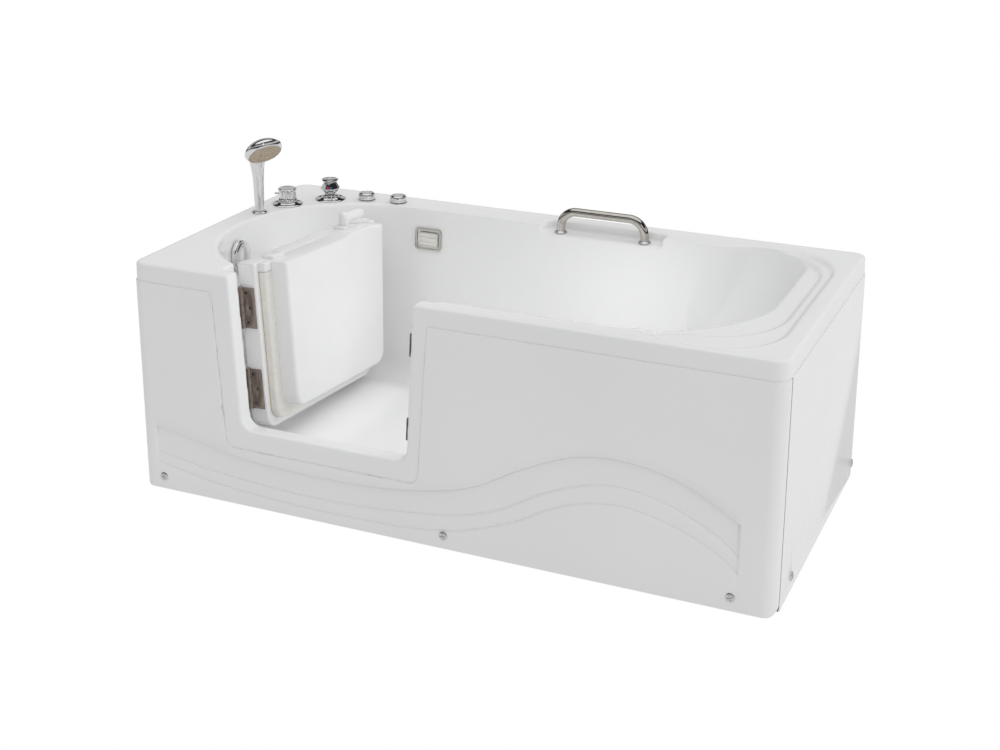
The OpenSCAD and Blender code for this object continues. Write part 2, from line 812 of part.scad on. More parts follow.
module shower_handle() color("silver") difference() {
  translate([sh_x, sh_y, zr]) {
    rotate_extrude()
      polygon([[0, -48], [11, -48], [11, 5.4], [13.5, 6.5], [14.5, 30],
               [14, 60], [12.5, 90], [13, 108], [15.5, 122], [13, 134],
               [0, 138]]);
    rotate([0, 0, head_turn])
      translate([0, 0, 122])
        rotate([0, 32, 0]) cylinder(r1 = 14.5, r2 = 12, h = 40);
  }
  head_frame()
    translate([0, 0, -fit])
      rotate_extrude() polygon(concat(head_back(), [[60, 6], [60, 60], [0, 60]]));
}

module head_frame()
  translate([sh_x, sh_y, zr])
    rotate([0, 0, head_turn])
      translate([30, 0, 172])
        rotate([0, 90 + head_tilt, 0]) children();

module shower_head() color("silver") head_frame() difference() {
  rotate_extrude()
    polygon(concat(head_back(), [[shower_d / 2, 9],
                                 [shower_d / 2 - 4, 12], [0, 12]]));
  translate([0, 0, 8]) cylinder(r = shower_d / 2 - 9, h = 10);
  translate([0, 0, -40]) cylinder(r = 5, h = 30);
}

module shower_face() color("tan") head_frame() {
  translate([0, 0, 8]) cylinder(r = shower_d / 2 - 9.1, h = 3);
  for (k = [1:3])
    for (a = [0:360 / (8 * k):359])
      rotate([0, 0, a])
        translate([11 * k, 0, 11]) cylinder(r = 1.2, h = 1.4, $fn = 8);
}

// ---------- hinges ----------

function screw_spots() = [[-13, -36], [-22, 0], [-13, 36]];
knuckle = hinge_h / 5;

module hinge_leaf(side) difference() {
  union() {
    bar(side < 0 ? -leaf_t - 0.3 : 0.3, -leaf_w, -hinge_h / 2,
        leaf_t, leaf_w - barrel_r - 0.5, hinge_h);
    for (i = side < 0 ? [0, 2, 4] : [1, 3]) {
      z0 = -hinge_h / 2 + i * knuckle + 0.2;
      cyl(0, 0, z0, barrel_r, knuckle - 0.4);
      bar(side < 0 ? -leaf_t - 0.3 : 0.3, -barrel_r - 1, z0,
          leaf_t, barrel_r, knuckle - 0.4);
    }
  }
  cyl(0, 0, -hinge_h, side < 0 ? 3.02 : 3 + fit, 2 * hinge_h);
  for (s = screw_spots())
    translate([side * (leaf_t + 0.3), s[0], s[1]])
      rotate([0, -side * 90, 0]) {
        translate([0, 0, -1]) cylinder(r = 2.2, h = 6);
        translate([0, 0, 0.8]) cylinder(r1 = 2.2, r2 = 4.6, h = 2.3);
      }
}

module leaf_screws(side)
  for (s = screw_spots())
    translate([side * (leaf_t + 0.3), s[0], s[1]])
      rotate([0, -side * 90, 0]) {
        translate([0, 0, 0.8]) cylinder(r1 = 2.05, r2 = 4.3, h = 2.15);
        translate([0, 0, -7]) cylinder(r = 1.95, h = 8);
      }

module hinge_pin() {
  cylinder(r = 3, h = hinge_h + 1, center = true);
  translate([0, 0, hinge_h / 2]) cylinder(r = 4.6, h = 2.2);
  translate([0, 0, -hinge_h / 2 - 2.2]) cylinder(r = 4.6, h = 2.2);
}

module hinge_jamb_upper() color("gray") hinge_frame(hinge_up_z) hinge_leaf(-1);
module hinge_jamb_lower() color("gray") hinge_frame(hinge_low_z) hinge_leaf(-1);
module hinge_pin_upper() color("silver") hinge_frame(hinge_up_z) hinge_pin();
module hinge_pin_lower() color("silver") hinge_frame(hinge_low_z) hinge_pin();
module hinge_screws_jamb() color("silver") {
  hinge_frame(hinge_up_z) leaf_screws(-1);
  hinge_frame(hinge_low_z) leaf_screws(-1);
}
module hinge_leaf_upper() color("gray")
  swung() hinge_frame(hinge_up_z) hinge_leaf(1);
module hinge_leaf_lower() color("gray")
  swung() hinge_frame(hinge_low_z) hinge_leaf(1);
module hinge_screws_door() color("silver") swung() {
  hinge_frame(hinge_up_z) leaf_screws(1);
  hinge_frame(hinge_low_z) leaf_screws(1);
}

// ---------- strikes ----------

module strike(z) difference() {
  along_y(yf + 5, yf + 31)
    polygon([[jr(z - 26) - 3, z - 26], [jr(z - 26), z - 26],
             [jr(z + 26), z + 26], [jr(z + 26) - 3, z + 26]]);
  translate([jr(z) - 8, bolt_y, z])
    rotate([0, 90, 0]) cylinder(r = 7, h = 16);
  for (s = [-18, 18])
    translate([jr(z + s) - 5, bolt_y, z + s])
      rotate([0, 90, 0]) cylinder(r = 2, h = 10);
}

module strike_upper() color("dimgray") strike(bolt_up_z);
module strike_lower() color("dimgray") strike(bolt_low_z);

module strike_screws() color("silver")
  for (z = [bolt_up_z, bolt_low_z])
    for (s = [-18, 18])
      translate([jr(z + s), bolt_y, z + s]) {
        translate([-3.2, 0, 0]) rotate([0, 90, 0]) cylinder(r = 1.75, h = 12);
        translate([-4.5, 0, 0]) rotate([0, 90, 0]) cylinder(r = 3.4, h = 1.2);
      }

// ---------- door, drawn shut and swung open ----------

flange_y0 = ys + 10;
flange_y1 = py + 3;
door_top = zr - 4;
boss_h = 8;
boss_w = 100;
boss_flat = 30;
lever_z = door_top + boss_h;

// raised stretch of the door top that carries the lever
function boss_rise(d) =
  boss_h * (1 + cos(180 * min(1, max(0, abs(d) - boss_flat)
                                 / (boss_w - boss_flat)))) / 2;
function boss_line(i) =
  [for (k = [8:-1:-8]) [shaft_x + boss_w * k / 8,
                        door_top - i + boss_rise(boss_w * k / 8)]];

// plug outline, i inside the reveal at its front, k at its back
module plug_slab(i, k, y)
  along_y(y, y + 0.5)
    polygon(concat(upoly(-4 - i, -k - i, sill_z + 6 + i, 26, door_top - i),
                   boss_line(i)));

module plug_body(i, y0, y1) hull() {
  plug_slab(i + 1, 8, y0);
  plug_slab(i, 3, y1 - 0.5);
}

module flange_outline(i)
  polygon(concat(upoly(34.36 - i, 28 - i, rebate_z + 6 + i, 34,
                       door_top - i), boss_line(i)));

// band of the door that closes the gasket at the top
module gasket_cap()
  along_y(ys + 1, flange_y0 + 1)
    polygon([[jl(zr - 25.5) - 20, zr - 25.5], [jr(zr - 25.5) + 18, zr - 25.5],
             [jr(door_top) + 18, door_top], [jl(door_top) - 20, door_top]]);

module door_shell() color("white") swung() difference() {
  union() {
    difference() {
      union() {
        plug_body(0, yf + 3, flange_y0 + 1);
        along_y(flange_y0, flange_y1) flange_outline(0);
        gasket_cap();
        // thicker top block above the upper hinge
        hinge_frame(zr - 30)
          bar(1, -leaf_w, -24, 4, leaf_w + 2, 46);
      }
      plug_body(5, yf + 8, flange_y0 + 3);
      along_y(flange_y0 + 5, flange_y1 + 5) flange_outline(5);
      along_y(flange_y0 - 4, flange_y0 + 6)
        polygon(upoly(-9, -9, sill_z + 12, 22, door_top - 5));
    }
    // web that guides the latch bolts
    along_y(yf + 8, flange_y1)
      polygon([[shaft_x + 51, sill_z + 10], [shaft_x + 57, sill_z + 10],
               [shaft_x + 57, door_top - 3], [shaft_x + 51, door_top - 3]]);
  }
  for (z = [hinge_up_z, hinge_low_z])
    hinge_frame(z)
      translate([0, 0, -hinge_h / 2 - 4]) cylinder(r = 7.5, h = hinge_h + 8);
  for (z = [bolt_up_z, bolt_low_z])
    translate([shaft_x + 30, bolt_y, z])
      rotate([0, 90, 0]) cylinder(r = bolt_r + fit, h = 120);
  for (z = [hinge_up_z, hinge_low_z])
    hinge_frame(z)
      for (s = screw_spots())
        translate([2, s[0], s[1]])
          rotate([0, 90, 0]) cylinder(r = 2, h = 10);
  cyl(shaft_x, shaft_y, door_top - 20, 7 + fit, 50);
}

module door_liner() color("white") swung() difference() {
  along_y(flange_y1, flange_y1 + 3) flange_outline(0.5);
  for (z = [hinge_up_z, hinge_low_z])
    hinge_frame(z)
      translate([0, 0, -hinge_h / 2 - 4]) cylinder(r = 7.5, h = hinge_h + 8);
}

module door_gasket() color("antiquewhite") swung() difference() {
  along_y(ys + 0.5, flange_y0)
    polygon(upoly(20, 18, sill_z - 22, 34, zr - 26));
  along_y(ys - 5, flange_y0 + 5)
    polygon(upoly(-3.2, -2.4, sill_z + 5.2, 26, zr));
}

module lever_base() color("white") swung()
  translate([shaft_x, shaft_y, lever_z])
    difference() {
      union() {
        up(0, 1.5) round_rect(-30, 28, -18, 18, 6);
        up(1, 3.2) round_rect(-25, 24, -15, 15, 5);
        cylinder(r = 16.5, h = 6);
      }
      translate([0, 0, -1]) cylinder(r = 7 + fit, h = 9);
    }

arm_bend = 22;
arm_r = (lever_len - 34) / sin(arm_bend);
arm_x = 8;
arm_z = 20;

// ribbed post, curved arm and a turned grip at its end
module door_lever() color("white") swung()
  translate([shaft_x, shaft_y, lever_z]) difference() {
    union() {
      rotate_extrude()
        polygon([[0, 6.4], [15, 6.4], [14.5, 24], [12.5, 33], [8, 37],
                 [0, 38]]);
      for (a = [18:36:359])
        rotate([0, 0, a]) translate([14.6, 0, 8.4]) cylinder(r = 1.8, h = 14);
      translate([arm_x + arm_r * sin(arm_bend), 0,
                 arm_z - arm_r * cos(arm_bend)])
        rotate([90, 0, 0])
          rotate([0, 0, 90])
            rotate_extrude(angle = arm_bend, $fn = 120)
              translate([arm_r, 0]) circle(r = 8.5, $fn = 24);
      translate([arm_x + arm_r * sin(arm_bend), 0,
                 arm_z + arm_r * (1 - cos(arm_bend))])
        rotate([0, 90, 0])
          rotate_extrude()
            polygon([[0, -9], [9, -9], [9.8, 4], [9.4, 14], [7, 20],
                     [0, 22]]);
    }
    translate([0, 0, 0]) cylinder(r = 7.01, h = 24);
  }

module latch_shaft() color("silver") swung()
  translate([shaft_x, shaft_y, 0]) {
    translate([0, 0, bolt_low_z - 25])
      cylinder(r = 7, h = lever_z - bolt_low_z + 25 + 24);
    for (z = [bolt_up_z, bolt_low_z]) {
      translate([-7, -throw_r - 6, z + 8]) cube([14, throw_r + 6, 5]);
      cyl(0, -throw_r, z - 6, 3, 18);
    }
  }

module latch_bolt(z) {
  translate([shaft_x + 26, bolt_y, z])
    rotate([0, 90, 0])
      cylinder(r = bolt_r, h = jr(z) - 8 - shaft_x - 26);
  difference() {
    bar(shaft_x - 10, bolt_y - 3, z - 4, 40, 27, 8);
    bar(shaft_x - 5.5, shaft_y - throw_r - 4, z - 6, 11, 24, 12);
  }
}

module latch_bolt_upper() color("silver") swung() latch_bolt(bolt_up_z);
module latch_bolt_lower() color("silver") swung() latch_bolt(bolt_low_z);

tub_shell();
front_skirt();
end_panel_right();
end_panel_left();
base_ring();
floor_bearers();
frame_posts();
top_rails();
rim_battens();
leveling_feet();
feet_locknuts();
panel_screws();
waterfall_spout();
spout_louvre();
overflow_cap();
overflow_body();
drain_flange_a();
drain_flange_b();
waste_pipe();
waste_outlet();
drain_plug_a();
drain_plug_b();
grab_bar();
grab_bar_collars();
diverter_flange();
diverter_valve();
diverter_knob();
mixer_flange();
mixer_valve();
mixer_knob();
mixer_cap();
drain_knob_base_a();
drain_knob_base_b();
drain_knob_a();
drain_knob_b();
shower_holder();
shower_handle();
shower_head();
shower_face();
hinge_jamb_upper();
hinge_jamb_lower();
hinge_pin_upper();
hinge_pin_lower();
hinge_screws_jamb();
strike_upper();
strike_lower();
strike_screws();
door_shell();
door_liner();
door_gasket();
hinge_leaf_upper();
hinge_leaf_lower();
hinge_screws_door();
lever_base();
door_lever();
latch_shaft();
latch_bolt_upper();
latch_bolt_lower();
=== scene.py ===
import json
import math

import bpy
from mathutils import Matrix, Vector


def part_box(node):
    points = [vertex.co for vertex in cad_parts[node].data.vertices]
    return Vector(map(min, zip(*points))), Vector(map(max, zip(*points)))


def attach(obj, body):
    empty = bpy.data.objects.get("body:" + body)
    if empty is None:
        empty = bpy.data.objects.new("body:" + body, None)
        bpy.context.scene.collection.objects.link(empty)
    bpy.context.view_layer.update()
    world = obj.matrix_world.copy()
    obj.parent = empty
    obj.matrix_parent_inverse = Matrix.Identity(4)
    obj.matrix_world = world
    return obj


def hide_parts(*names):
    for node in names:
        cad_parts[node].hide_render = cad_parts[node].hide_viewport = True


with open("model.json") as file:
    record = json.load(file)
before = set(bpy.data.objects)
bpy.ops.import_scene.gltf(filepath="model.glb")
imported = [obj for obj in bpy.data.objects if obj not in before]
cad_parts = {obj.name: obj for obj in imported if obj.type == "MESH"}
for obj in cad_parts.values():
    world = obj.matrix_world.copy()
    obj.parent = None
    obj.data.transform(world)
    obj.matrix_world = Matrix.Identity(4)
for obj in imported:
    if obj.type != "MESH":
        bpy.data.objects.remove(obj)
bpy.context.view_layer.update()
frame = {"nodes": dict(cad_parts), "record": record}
nodes = frame["nodes"]
bpy.ops.object.select_all(action="DESELECT")

MM = 0.001
UP = Vector((0, 0, 1))

# ---------- camera, standing where the photograph was taken from ----------

CAMERA_PLACE = Vector((1.3814, -3.1729, 1.6689))
CAMERA_TURN = math.radians(23.662)
CAMERA_DOWN = math.radians(17.008)
CAMERA_ROLL = math.radians(0.200)
CAMERA_LENS = 56.89
CAMERA_SHIFT_DOWN = 0.140


def add_camera():
    right = Vector((math.cos(CAMERA_TURN), math.sin(CAMERA_TURN), 0))
    ahead = Vector((
        -math.sin(CAMERA_TURN) * math.cos(CAMERA_DOWN),
        math.cos(CAMERA_TURN) * math.cos(CAMERA_DOWN),
        -math.sin(CAMERA_DOWN),
    ))
    above = right.cross(ahead)
    level = right * math.cos(CAMERA_ROLL) + above * math.sin(CAMERA_ROLL)
    upright = above * math.cos(CAMERA_ROLL) - right * math.sin(CAMERA_ROLL)
    data = bpy.data.cameras.new("photo_camera")
    data.sensor_fit = "HORIZONTAL"
    data.sensor_width = 36
    data.lens = CAMERA_LENS
    data.shift_y = -CAMERA_SHIFT_DOWN
    data.clip_end = 50
    camera = bpy.data.objects.new("photo_camera", data)
    bpy.context.scene.collection.objects.link(camera)
    turn = Matrix((level, upright, -ahead)).transposed().to_4x4()
    camera.matrix_world = Matrix.Translation(CAMERA_PLACE) @ turn
    bpy.context.scene.camera = camera


# ---------- studio ----------

PAPER_GLOW = 0.54
AIR_LEVEL = 0.60
AIR_SLOPE = (0.28, 0.20, 0.42)
AIR_BANDS = [(0.10, 0.05), (0.21, 0.05), (0.27, 0.45), (0.36, 0.55),
             (0.50, 0.50), (0.55, 0.02), (0.84, 0.02), (0.90, 1.0)]
BAND_WANDER = 0.24
BAND_SCALE = 2.4
WINDOW_PLACE = (3.0, -3.6, 2.8)
WINDOW_AIM = (0.2, 0, 0.3)
WINDOW_SIZE = (0.7, 1.2)
WINDOW_POWER = 4
UNDER_DOOR = Vector((-0.40, -0.04, 0.138))
UNDER_DOOR_SIZE = (0.14, 0.42)
UNDER_DOOR_POWER = 0.035
BASIN_GLOWS = [("glow_right", (0.22, 0.0, 0.44), 0.75), ("glow_door", (-0.20, -0.05, 0.34), 0.18),
               ("glow_left", (-0.53, 0.09, 0.47), 0.42)]


def add_floor():
    bpy.ops.mesh.primitive_plane_add(size=14, location=(0, 2, -0.0005))
    floor = bpy.context.object
    floor.name = "studio_floor"
    material = bpy.data.materials.new("studio_floor_paper")
    material.use_nodes = True
    shader = material.node_tree.nodes["Principled BSDF"]
    shader.inputs["Base Color"].default_value = (0.25, 0.25, 0.25, 1)
    shader.inputs["Roughness"].default_value = 1.0
    shader.inputs["Specular IOR Level"].default_value = 0.0
    shader.inputs["Emission Color"].default_value = (1, 1, 1, 1)
    shader.inputs["Emission Strength"].default_value = PAPER_GLOW
    # lit paper for the tub, plain white for the camera
    tree = material.node_tree
    white = tree.nodes.new("ShaderNodeEmission")
    seen = tree.nodes.new("ShaderNodeLightPath").outputs["Is Camera Ray"]
    mix = tree.nodes.new("ShaderNodeMixShader")
    tree.links.new(seen, mix.inputs[0])
    tree.links.new(shader.outputs[0], mix.inputs[1])
    tree.links.new(white.outputs[0], mix.inputs[2])
    tree.links.new(mix.outputs[0], tree.nodes["Material Output"].inputs["Surface"])
    floor.data.materials.append(material)


def add_area(name, place, target, size, power):
    data = bpy.data.lights.new(name, "AREA")
    data.shape = "RECTANGLE"
    data.size = size[0]
    data.size_y = size[1]
    data.energy = power
    lamp = bpy.data.objects.new(name, data)
    bpy.context.scene.collection.objects.link(lamp)
    lamp.location = place
    aim = Vector(target) - Vector(place)
    lamp.rotation_euler = aim.to_track_quat("-Z", "Y").to_euler()
    return lamp


def add_glow(name, place, power):
    """A soft lamp in the basin that stands for light bounced by the room."""
    data = bpy.data.lights.new(name, "POINT")
    data.energy = power
    data.shadow_soft_size = 0.12
    lamp = bpy.data.objects.new(name, data)
    bpy.context.scene.collection.objects.link(lamp)
    lamp.location = place
    lamp.visible_camera = False
    lamp.visible_glossy = False


def add_light():
    world = bpy.data.worlds.new("studio_air")
    bpy.context.scene.world = world
    world.use_nodes = True
    tree = world.node_tree
    air = tree.nodes["Background"]
    air.inputs["Color"].default_value = (1, 1, 1, 1)
    direction = tree.nodes.new("ShaderNodeTexCoord").outputs["Generated"]
    brightness = tree.nodes.new("ShaderNodeVectorMath")
    brightness.operation = "DOT_PRODUCT"
    tree.links.new(direction, brightness.inputs[0])
    brightness.inputs[1].default_value = AIR_SLOPE
    level = tree.nodes.new("ShaderNodeMath")
    level.operation = "ADD"
    level.use_clamp = False
    tree.links.new(brightness.outputs["Value"], level.inputs[0])
    level.inputs[1].default_value = AIR_LEVEL
    # the paper behind the tub stays plain white for the camera
    seen = tree.nodes.new("ShaderNodeLightPath").outputs["Is Camera Ray"]
    strength = tree.nodes.new("ShaderNodeMath")
    strength.operation = "MAXIMUM"
    tree.links.new(seen, strength.inputs[0])
    tree.links.new(mirrored_air(tree, direction, level.outputs["Value"]), strength.inputs[1])
    tree.links.new(strength.outputs["Value"], air.inputs["Strength"])
    bpy.context.scene.view_settings.view_transform = "Standard"
    add_area("window", WINDOW_PLACE, WINDOW_AIM, WINDOW_SIZE, WINDOW_POWER)
    for name, place, power in BASIN_GLOWS:
        add_glow(name, place, power)
    under = add_area("glow_floor", UNDER_DOOR, UNDER_DOOR - UP, UNDER_DOOR_SIZE, UNDER_DOOR_POWER)
    under.rotation_euler = (0, 0, 0)
    under.visible_camera = False
    under.visible_glossy = False


def mirrored_air(tree, direction, plain):
    """Dark and light bands of the studio, met only by mirror reflections."""
    height = tree.nodes.new("ShaderNodeSeparateXYZ")
    tree.links.new(direction, height.inputs[0])
    wander = tree.nodes.new("ShaderNodeTexNoise")
    tree.links.new(direction, wander.inputs["Vector"])
    wander.inputs["Scale"].default_value = BAND_SCALE
    wander.inputs["Detail"].default_value = 1.0
    shifted = tree.nodes.new("ShaderNodeMath")
    shifted.operation = "MULTIPLY_ADD"
    tree.links.new(wander.outputs[0], shifted.inputs[0])
    shifted.inputs[1].default_value = BAND_WANDER
    tree.links.new(height.outputs["Z"], shifted.inputs[2])
    bands = tree.nodes.new("ShaderNodeValToRGB")
    set_stops(bands.color_ramp, [(at, (shade, shade, shade)) for at, shade in AIR_BANDS])
    tree.links.new(shifted.outputs["Value"], bands.inputs["Fac"])
    glossy = tree.nodes.new("ShaderNodeLightPath").outputs["Is Glossy Ray"]
    either = tree.nodes.new("ShaderNodeMix")
    tree.links.new(glossy, either.inputs[0])
    tree.links.new(plain, either.inputs[2])
    tree.links.new(bands.outputs["Color"], either.inputs[3])
    return either.outputs[0]


# ---------- finishes ----------


class Field:
    """A value that varies over a surface, so finishes read like sums."""

    def __init__(self, finish, socket):
        self.finish = finish
        self.socket = socket

    def combine(self, operation, first, second):
        return self.finish.node("ShaderNodeMath", {"operation": operation}, {0: first, 1: second})

    def __add__(self, other):
        return self.combine("ADD", self, other)

    def __radd__(self, other):
        return self.combine("ADD", other, self)

    def __mul__(self, other):
        return self.combine("MULTIPLY", self, other)


class Finish:
    """One material: its shader, and one method that adds any node."""

    def __init__(self, name, colour, roughness, metallic=0.0):
        self.material = bpy.data.materials.new(name)
        self.material.use_nodes = True
        self.tree = self.material.node_tree
        self.shader = self.tree.nodes["Principled BSDF"]
        self.set("Base Color", (*colour, 1))
        self.set("Roughness", roughness)
        self.set("Metallic", metallic)
        self.material.diffuse_color = (*colour, 1)

    def node(self, kind, settings, inputs, output=0):
        made = self.tree.nodes.new(kind)
        for name, value in settings.items():
            if name == "stops":
                set_stops(made.color_ramp, value)
            else:
                setattr(made, name, value)
        for name, value in inputs.items():
            self.fill(made.inputs[name], value)
        return Field(self, made.outputs[output])

    def fill(self, socket, value):
        if isinstance(value, Field):
            self.tree.links.new(value.socket, socket)
        else:
            socket.default_value = value

    def set(self, socket, value):
        self.fill(self.shader.inputs[socket], value)

    def place(self, scale=(1, 1, 1)):
        spot = self.node("ShaderNodeTexCoord", {}, {}, "Object")
        return self.node("ShaderNodeMapping", {}, {"Vector": spot, "Scale": scale})

    def noise(self, size, detail=3.0, roughness=0.5, scale=(1, 1, 1)):
        inputs = {"Vector": self.place(scale), "Scale": 1 / size, "Detail": detail, "Roughness": roughness}
        return self.node("ShaderNodeTexNoise", {}, inputs, 0)

    def colours(self, amount, dark, light):
        stops = [(0.3, dark), (0.7, light)]
        return self.node("ShaderNodeValToRGB", {"stops": stops}, {"Fac": amount})

    def bump(self, height, depth, strength=1.0):
        inputs = {"Height": height, "Distance": depth, "Strength": strength}
        self.set("Normal", self.node("ShaderNodeBump", {}, inputs))


def set_stops(ramp, stops):
    while len(ramp.elements) > len(stops):
        ramp.elements.remove(ramp.elements[-1])
    for index, (position, colour) in enumerate(stops):
        if index < len(ramp.elements):
            stop = ramp.elements[index]
            stop.position = position
        else:
            stop = ramp.elements.new(position)
        stop.color = (*colour, 1)


def white_acrylic():
    finish = Finish("white_acrylic", (0.89, 0.892, 0.892), 0.14)
    cloud = finish.noise(0.35, 2)
    finish.set("Base Color", finish.colours(cloud, (0.88, 0.883, 0.883), (0.90, 0.903, 0.903)))
    finish.set("Roughness", 0.12 + cloud * 0.06)
    finish.set("Specular IOR Level", 0.2)
    finish.bump(finish.noise(0.03, 1), 0.00012)
    return finish.material


def door_acrylic():
    finish = Finish("door_acrylic", (0.85, 0.85, 0.845), 0.2)
    cloud = finish.noise(0.12, 3)
    finish.set("Base Color", finish.colours(cloud, (0.875, 0.875, 0.88), (0.90, 0.90, 0.905)))
    finish.set("Specular IOR Level", 0.3)
    finish.set("Roughness", 0.16 + cloud * 0.1)
    finish.bump(finish.noise(0.02, 2), 0.0001)
    return finish.material


def cream_rubber():
    finish = Finish("cream_rubber", (0.83, 0.82, 0.775), 0.6)
    mottle = finish.noise(0.012, 4)
    finish.set("Base Color", finish.colours(mottle, (0.80, 0.785, 0.74), (0.86, 0.85, 0.81)))
    finish.set("Roughness", 0.5 + mottle * 0.2)
    finish.bump(finish.noise(0.002, 3), 0.0002)
    return finish.material


def chrome():
    finish = Finish("chrome", (0.80, 0.80, 0.81), 0.07, 1.0)
    smear = finish.noise(0.02, 4)
    finish.set("Roughness", 0.04 + smear * 0.07)
    return finish.material


def nickel():
    finish = Finish("nickel", (0.54, 0.52, 0.48), 0.09, 1.0)
    smear = finish.noise(0.02, 4)
    finish.set("Base Color", finish.colours(smear, (0.50, 0.475, 0.43), (0.60, 0.58, 0.54)))
    finish.set("Roughness", 0.05 + smear * 0.07)
    return finish.material


# painted shade: a dark strip for the shadow in the gap where the skirt meets an end panel
def painted_seam_shade():
    finish = Finish("painted_seam_shade", (0.16, 0.16, 0.165), 0.7)
    mottle = finish.noise(0.008, 3)
    finish.set("Base Color", finish.colours(mottle, (0.13, 0.13, 0.135), (0.20, 0.20, 0.205)))
    finish.set("Roughness", 0.6 + mottle * 0.2)
    return finish.material


def stainless():
    finish = Finish("stainless", (0.50, 0.46, 0.41), 0.3, 1.0)
    lines = finish.noise(0.01, 4, 0.6, (4, 4, 0.12))
    finish.set("Base Color", finish.colours(lines, (0.44, 0.40, 0.35), (0.58, 0.54, 0.49)))
    finish.set("Roughness", 0.22 + lines * 0.2)
    finish.bump(lines, 0.00008)
    return finish.material


def painted_steel():
    finish = Finish("painted_steel", (0.34, 0.35, 0.36), 0.45)
    speck = finish.noise(0.004, 4)
    finish.set("Base Color", finish.colours(speck, (0.31, 0.32, 0.33), (0.38, 0.39, 0.40)))
    finish.set("Roughness", 0.38 + speck * 0.2)
    finish.bump(speck, 0.00015)
    return finish.material


def zinc_plate():
    finish = Finish("zinc_plate", (0.60, 0.60, 0.57), 0.35, 1.0)
    bloom = finish.noise(0.008, 3)
    finish.set("Base Color", finish.colours(bloom, (0.54, 0.54, 0.50), (0.66, 0.66, 0.63)))
    finish.set("Roughness", 0.28 + bloom * 0.2)
    return finish.material


def raw_wood():
    finish = Finish("raw_wood", (0.55, 0.38, 0.20), 0.7)
    grain = finish.noise(0.03, 5, 0.6, (0.12, 0.12, 2.5))
    finish.set("Base Color", finish.colours(grain, (0.45, 0.29, 0.14), (0.62, 0.45, 0.26)))
    finish.bump(grain, 0.0004)
    return finish.material


def valve_brass():
    finish = Finish("valve_brass", (0.62, 0.45, 0.20), 0.3, 1.0)
    tarnish = finish.noise(0.015, 4)
    finish.set("Base Color", finish.colours(tarnish, (0.50, 0.35, 0.14), (0.68, 0.51, 0.25)))
    finish.set("Roughness", 0.24 + tarnish * 0.22)
    return finish.material


def pipe_plastic():
    finish = Finish("pipe_plastic", (0.18, 0.18, 0.185), 0.5)
    scuff = finish.noise(0.02, 4)
    finish.set("Base Color", finish.colours(scuff, (0.155, 0.155, 0.16), (0.21, 0.21, 0.215)))
    finish.set("Roughness", 0.42 + scuff * 0.18)
    finish.bump(finish.noise(0.0015, 2), 0.0001)
    return finish.material


def spray_plastic():
    finish = Finish("spray_plastic", (0.50, 0.42, 0.31), 0.42)
    tint = finish.noise(0.02, 3)
    finish.set("Base Color", finish.colours(tint, (0.47, 0.39, 0.28), (0.54, 0.46, 0.35)))
    finish.set("Roughness", 0.36 + tint * 0.12)
    return finish.material


def bright_steel():
    finish = Finish("bright_steel", (0.66, 0.66, 0.66), 0.2, 1.0)
    wear = finish.noise(0.004, 3)
    finish.set("Roughness", 0.14 + wear * 0.14)
    finish.bump(wear, 0.00003)
    return finish.material


def bronze_plate():
    finish = Finish("bronze_plate", (0.26, 0.22, 0.19), 0.36, 0.6)
    brushed = finish.noise(0.006, 4, 0.6, (1, 1, 0.12))
    finish.set("Base Color", finish.colours(brushed, (0.23, 0.185, 0.16), (0.44, 0.37, 0.33)))
    finish.set("Roughness", 0.30 + brushed * 0.2)
    finish.bump(brushed, 0.00006)
    return finish.material


# dark metal of the hinge screws and keepers; also painted shade behind the spout's slats
def dark_plate_and_shade():
    finish = Finish("dark_plate_and_shade", (0.16, 0.155, 0.15), 0.4, 1.0)
    brushed = finish.noise(0.006, 3)
    finish.set("Base Color", finish.colours(brushed, (0.12, 0.115, 0.11), (0.22, 0.215, 0.21)))
    finish.set("Roughness", 0.3 + brushed * 0.2)
    return finish.material


def pearl_plastic():
    finish = Finish("pearl_plastic", (0.74, 0.73, 0.69), 0.3)
    tint = finish.noise(0.02, 3)
    finish.set("Base Color", finish.colours(tint, (0.82, 0.81, 0.77), (0.88, 0.87, 0.83)))
    finish.set("Roughness", 0.22 + tint * 0.14)
    return finish.material


# painted shade: tan band for the shadow in the groove between the door seal and the flange
def painted_groove_shade():
    finish = Finish("painted_groove_shade", (0.60, 0.50, 0.36), 0.6)
    mottle = finish.noise(0.01, 3)
    finish.set("Base Color", finish.colours(mottle, (0.55, 0.45, 0.31), (0.66, 0.57, 0.44)))
    finish.set("Roughness", 0.5 + mottle * 0.2)
    return finish.material


def dot_enamel(name, colour):
    finish = Finish(name, colour, 0.25)
    finish.set("Roughness", 0.18 + finish.noise(0.003, 2) * 0.14)
    return finish.material


WHITE = white_acrylic()
BRIGHT_STEEL = bright_steel()
BRONZE = bronze_plate()
DARK_PLATE_AND_SHADE = dark_plate_and_shade()
PEARL = pearl_plastic()
GROOVE_SHADE = painted_groove_shade()
DOOR_WHITE = door_acrylic()
RUBBER = cream_rubber()
CHROME = chrome()
NICKEL = nickel()
SEAM_SHADE = painted_seam_shade()
STEEL = stainless()
SLOT_FINISH = {
    "white_acrylic": WHITE,
    "door_white": DOOR_WHITE,
    "cream_rubber": RUBBER,
    "chrome": CHROME,
    "stainless": STEEL,
    "frame_grey": painted_steel(),
    "zinc": zinc_plate(),
    "batten_wood": raw_wood(),
    "valve_brass": valve_brass(),
    "pipe_plastic": pipe_plastic(),
    "spray_plastic": spray_plastic(),
}


def finish_frame_nodes():
    for part in frame["record"]["subparts"]:
        mesh = nodes[part["node"]].data
        mesh.materials.clear()
        mesh.materials.append(SLOT_FINISH[part["material_slot"]])


# ---------- the maker's bench ----------


def only(piece):
    bpy.ops.object.select_all(action="DESELECT")
    piece.select_set(True)
    bpy.context.view_layer.objects.active = piece


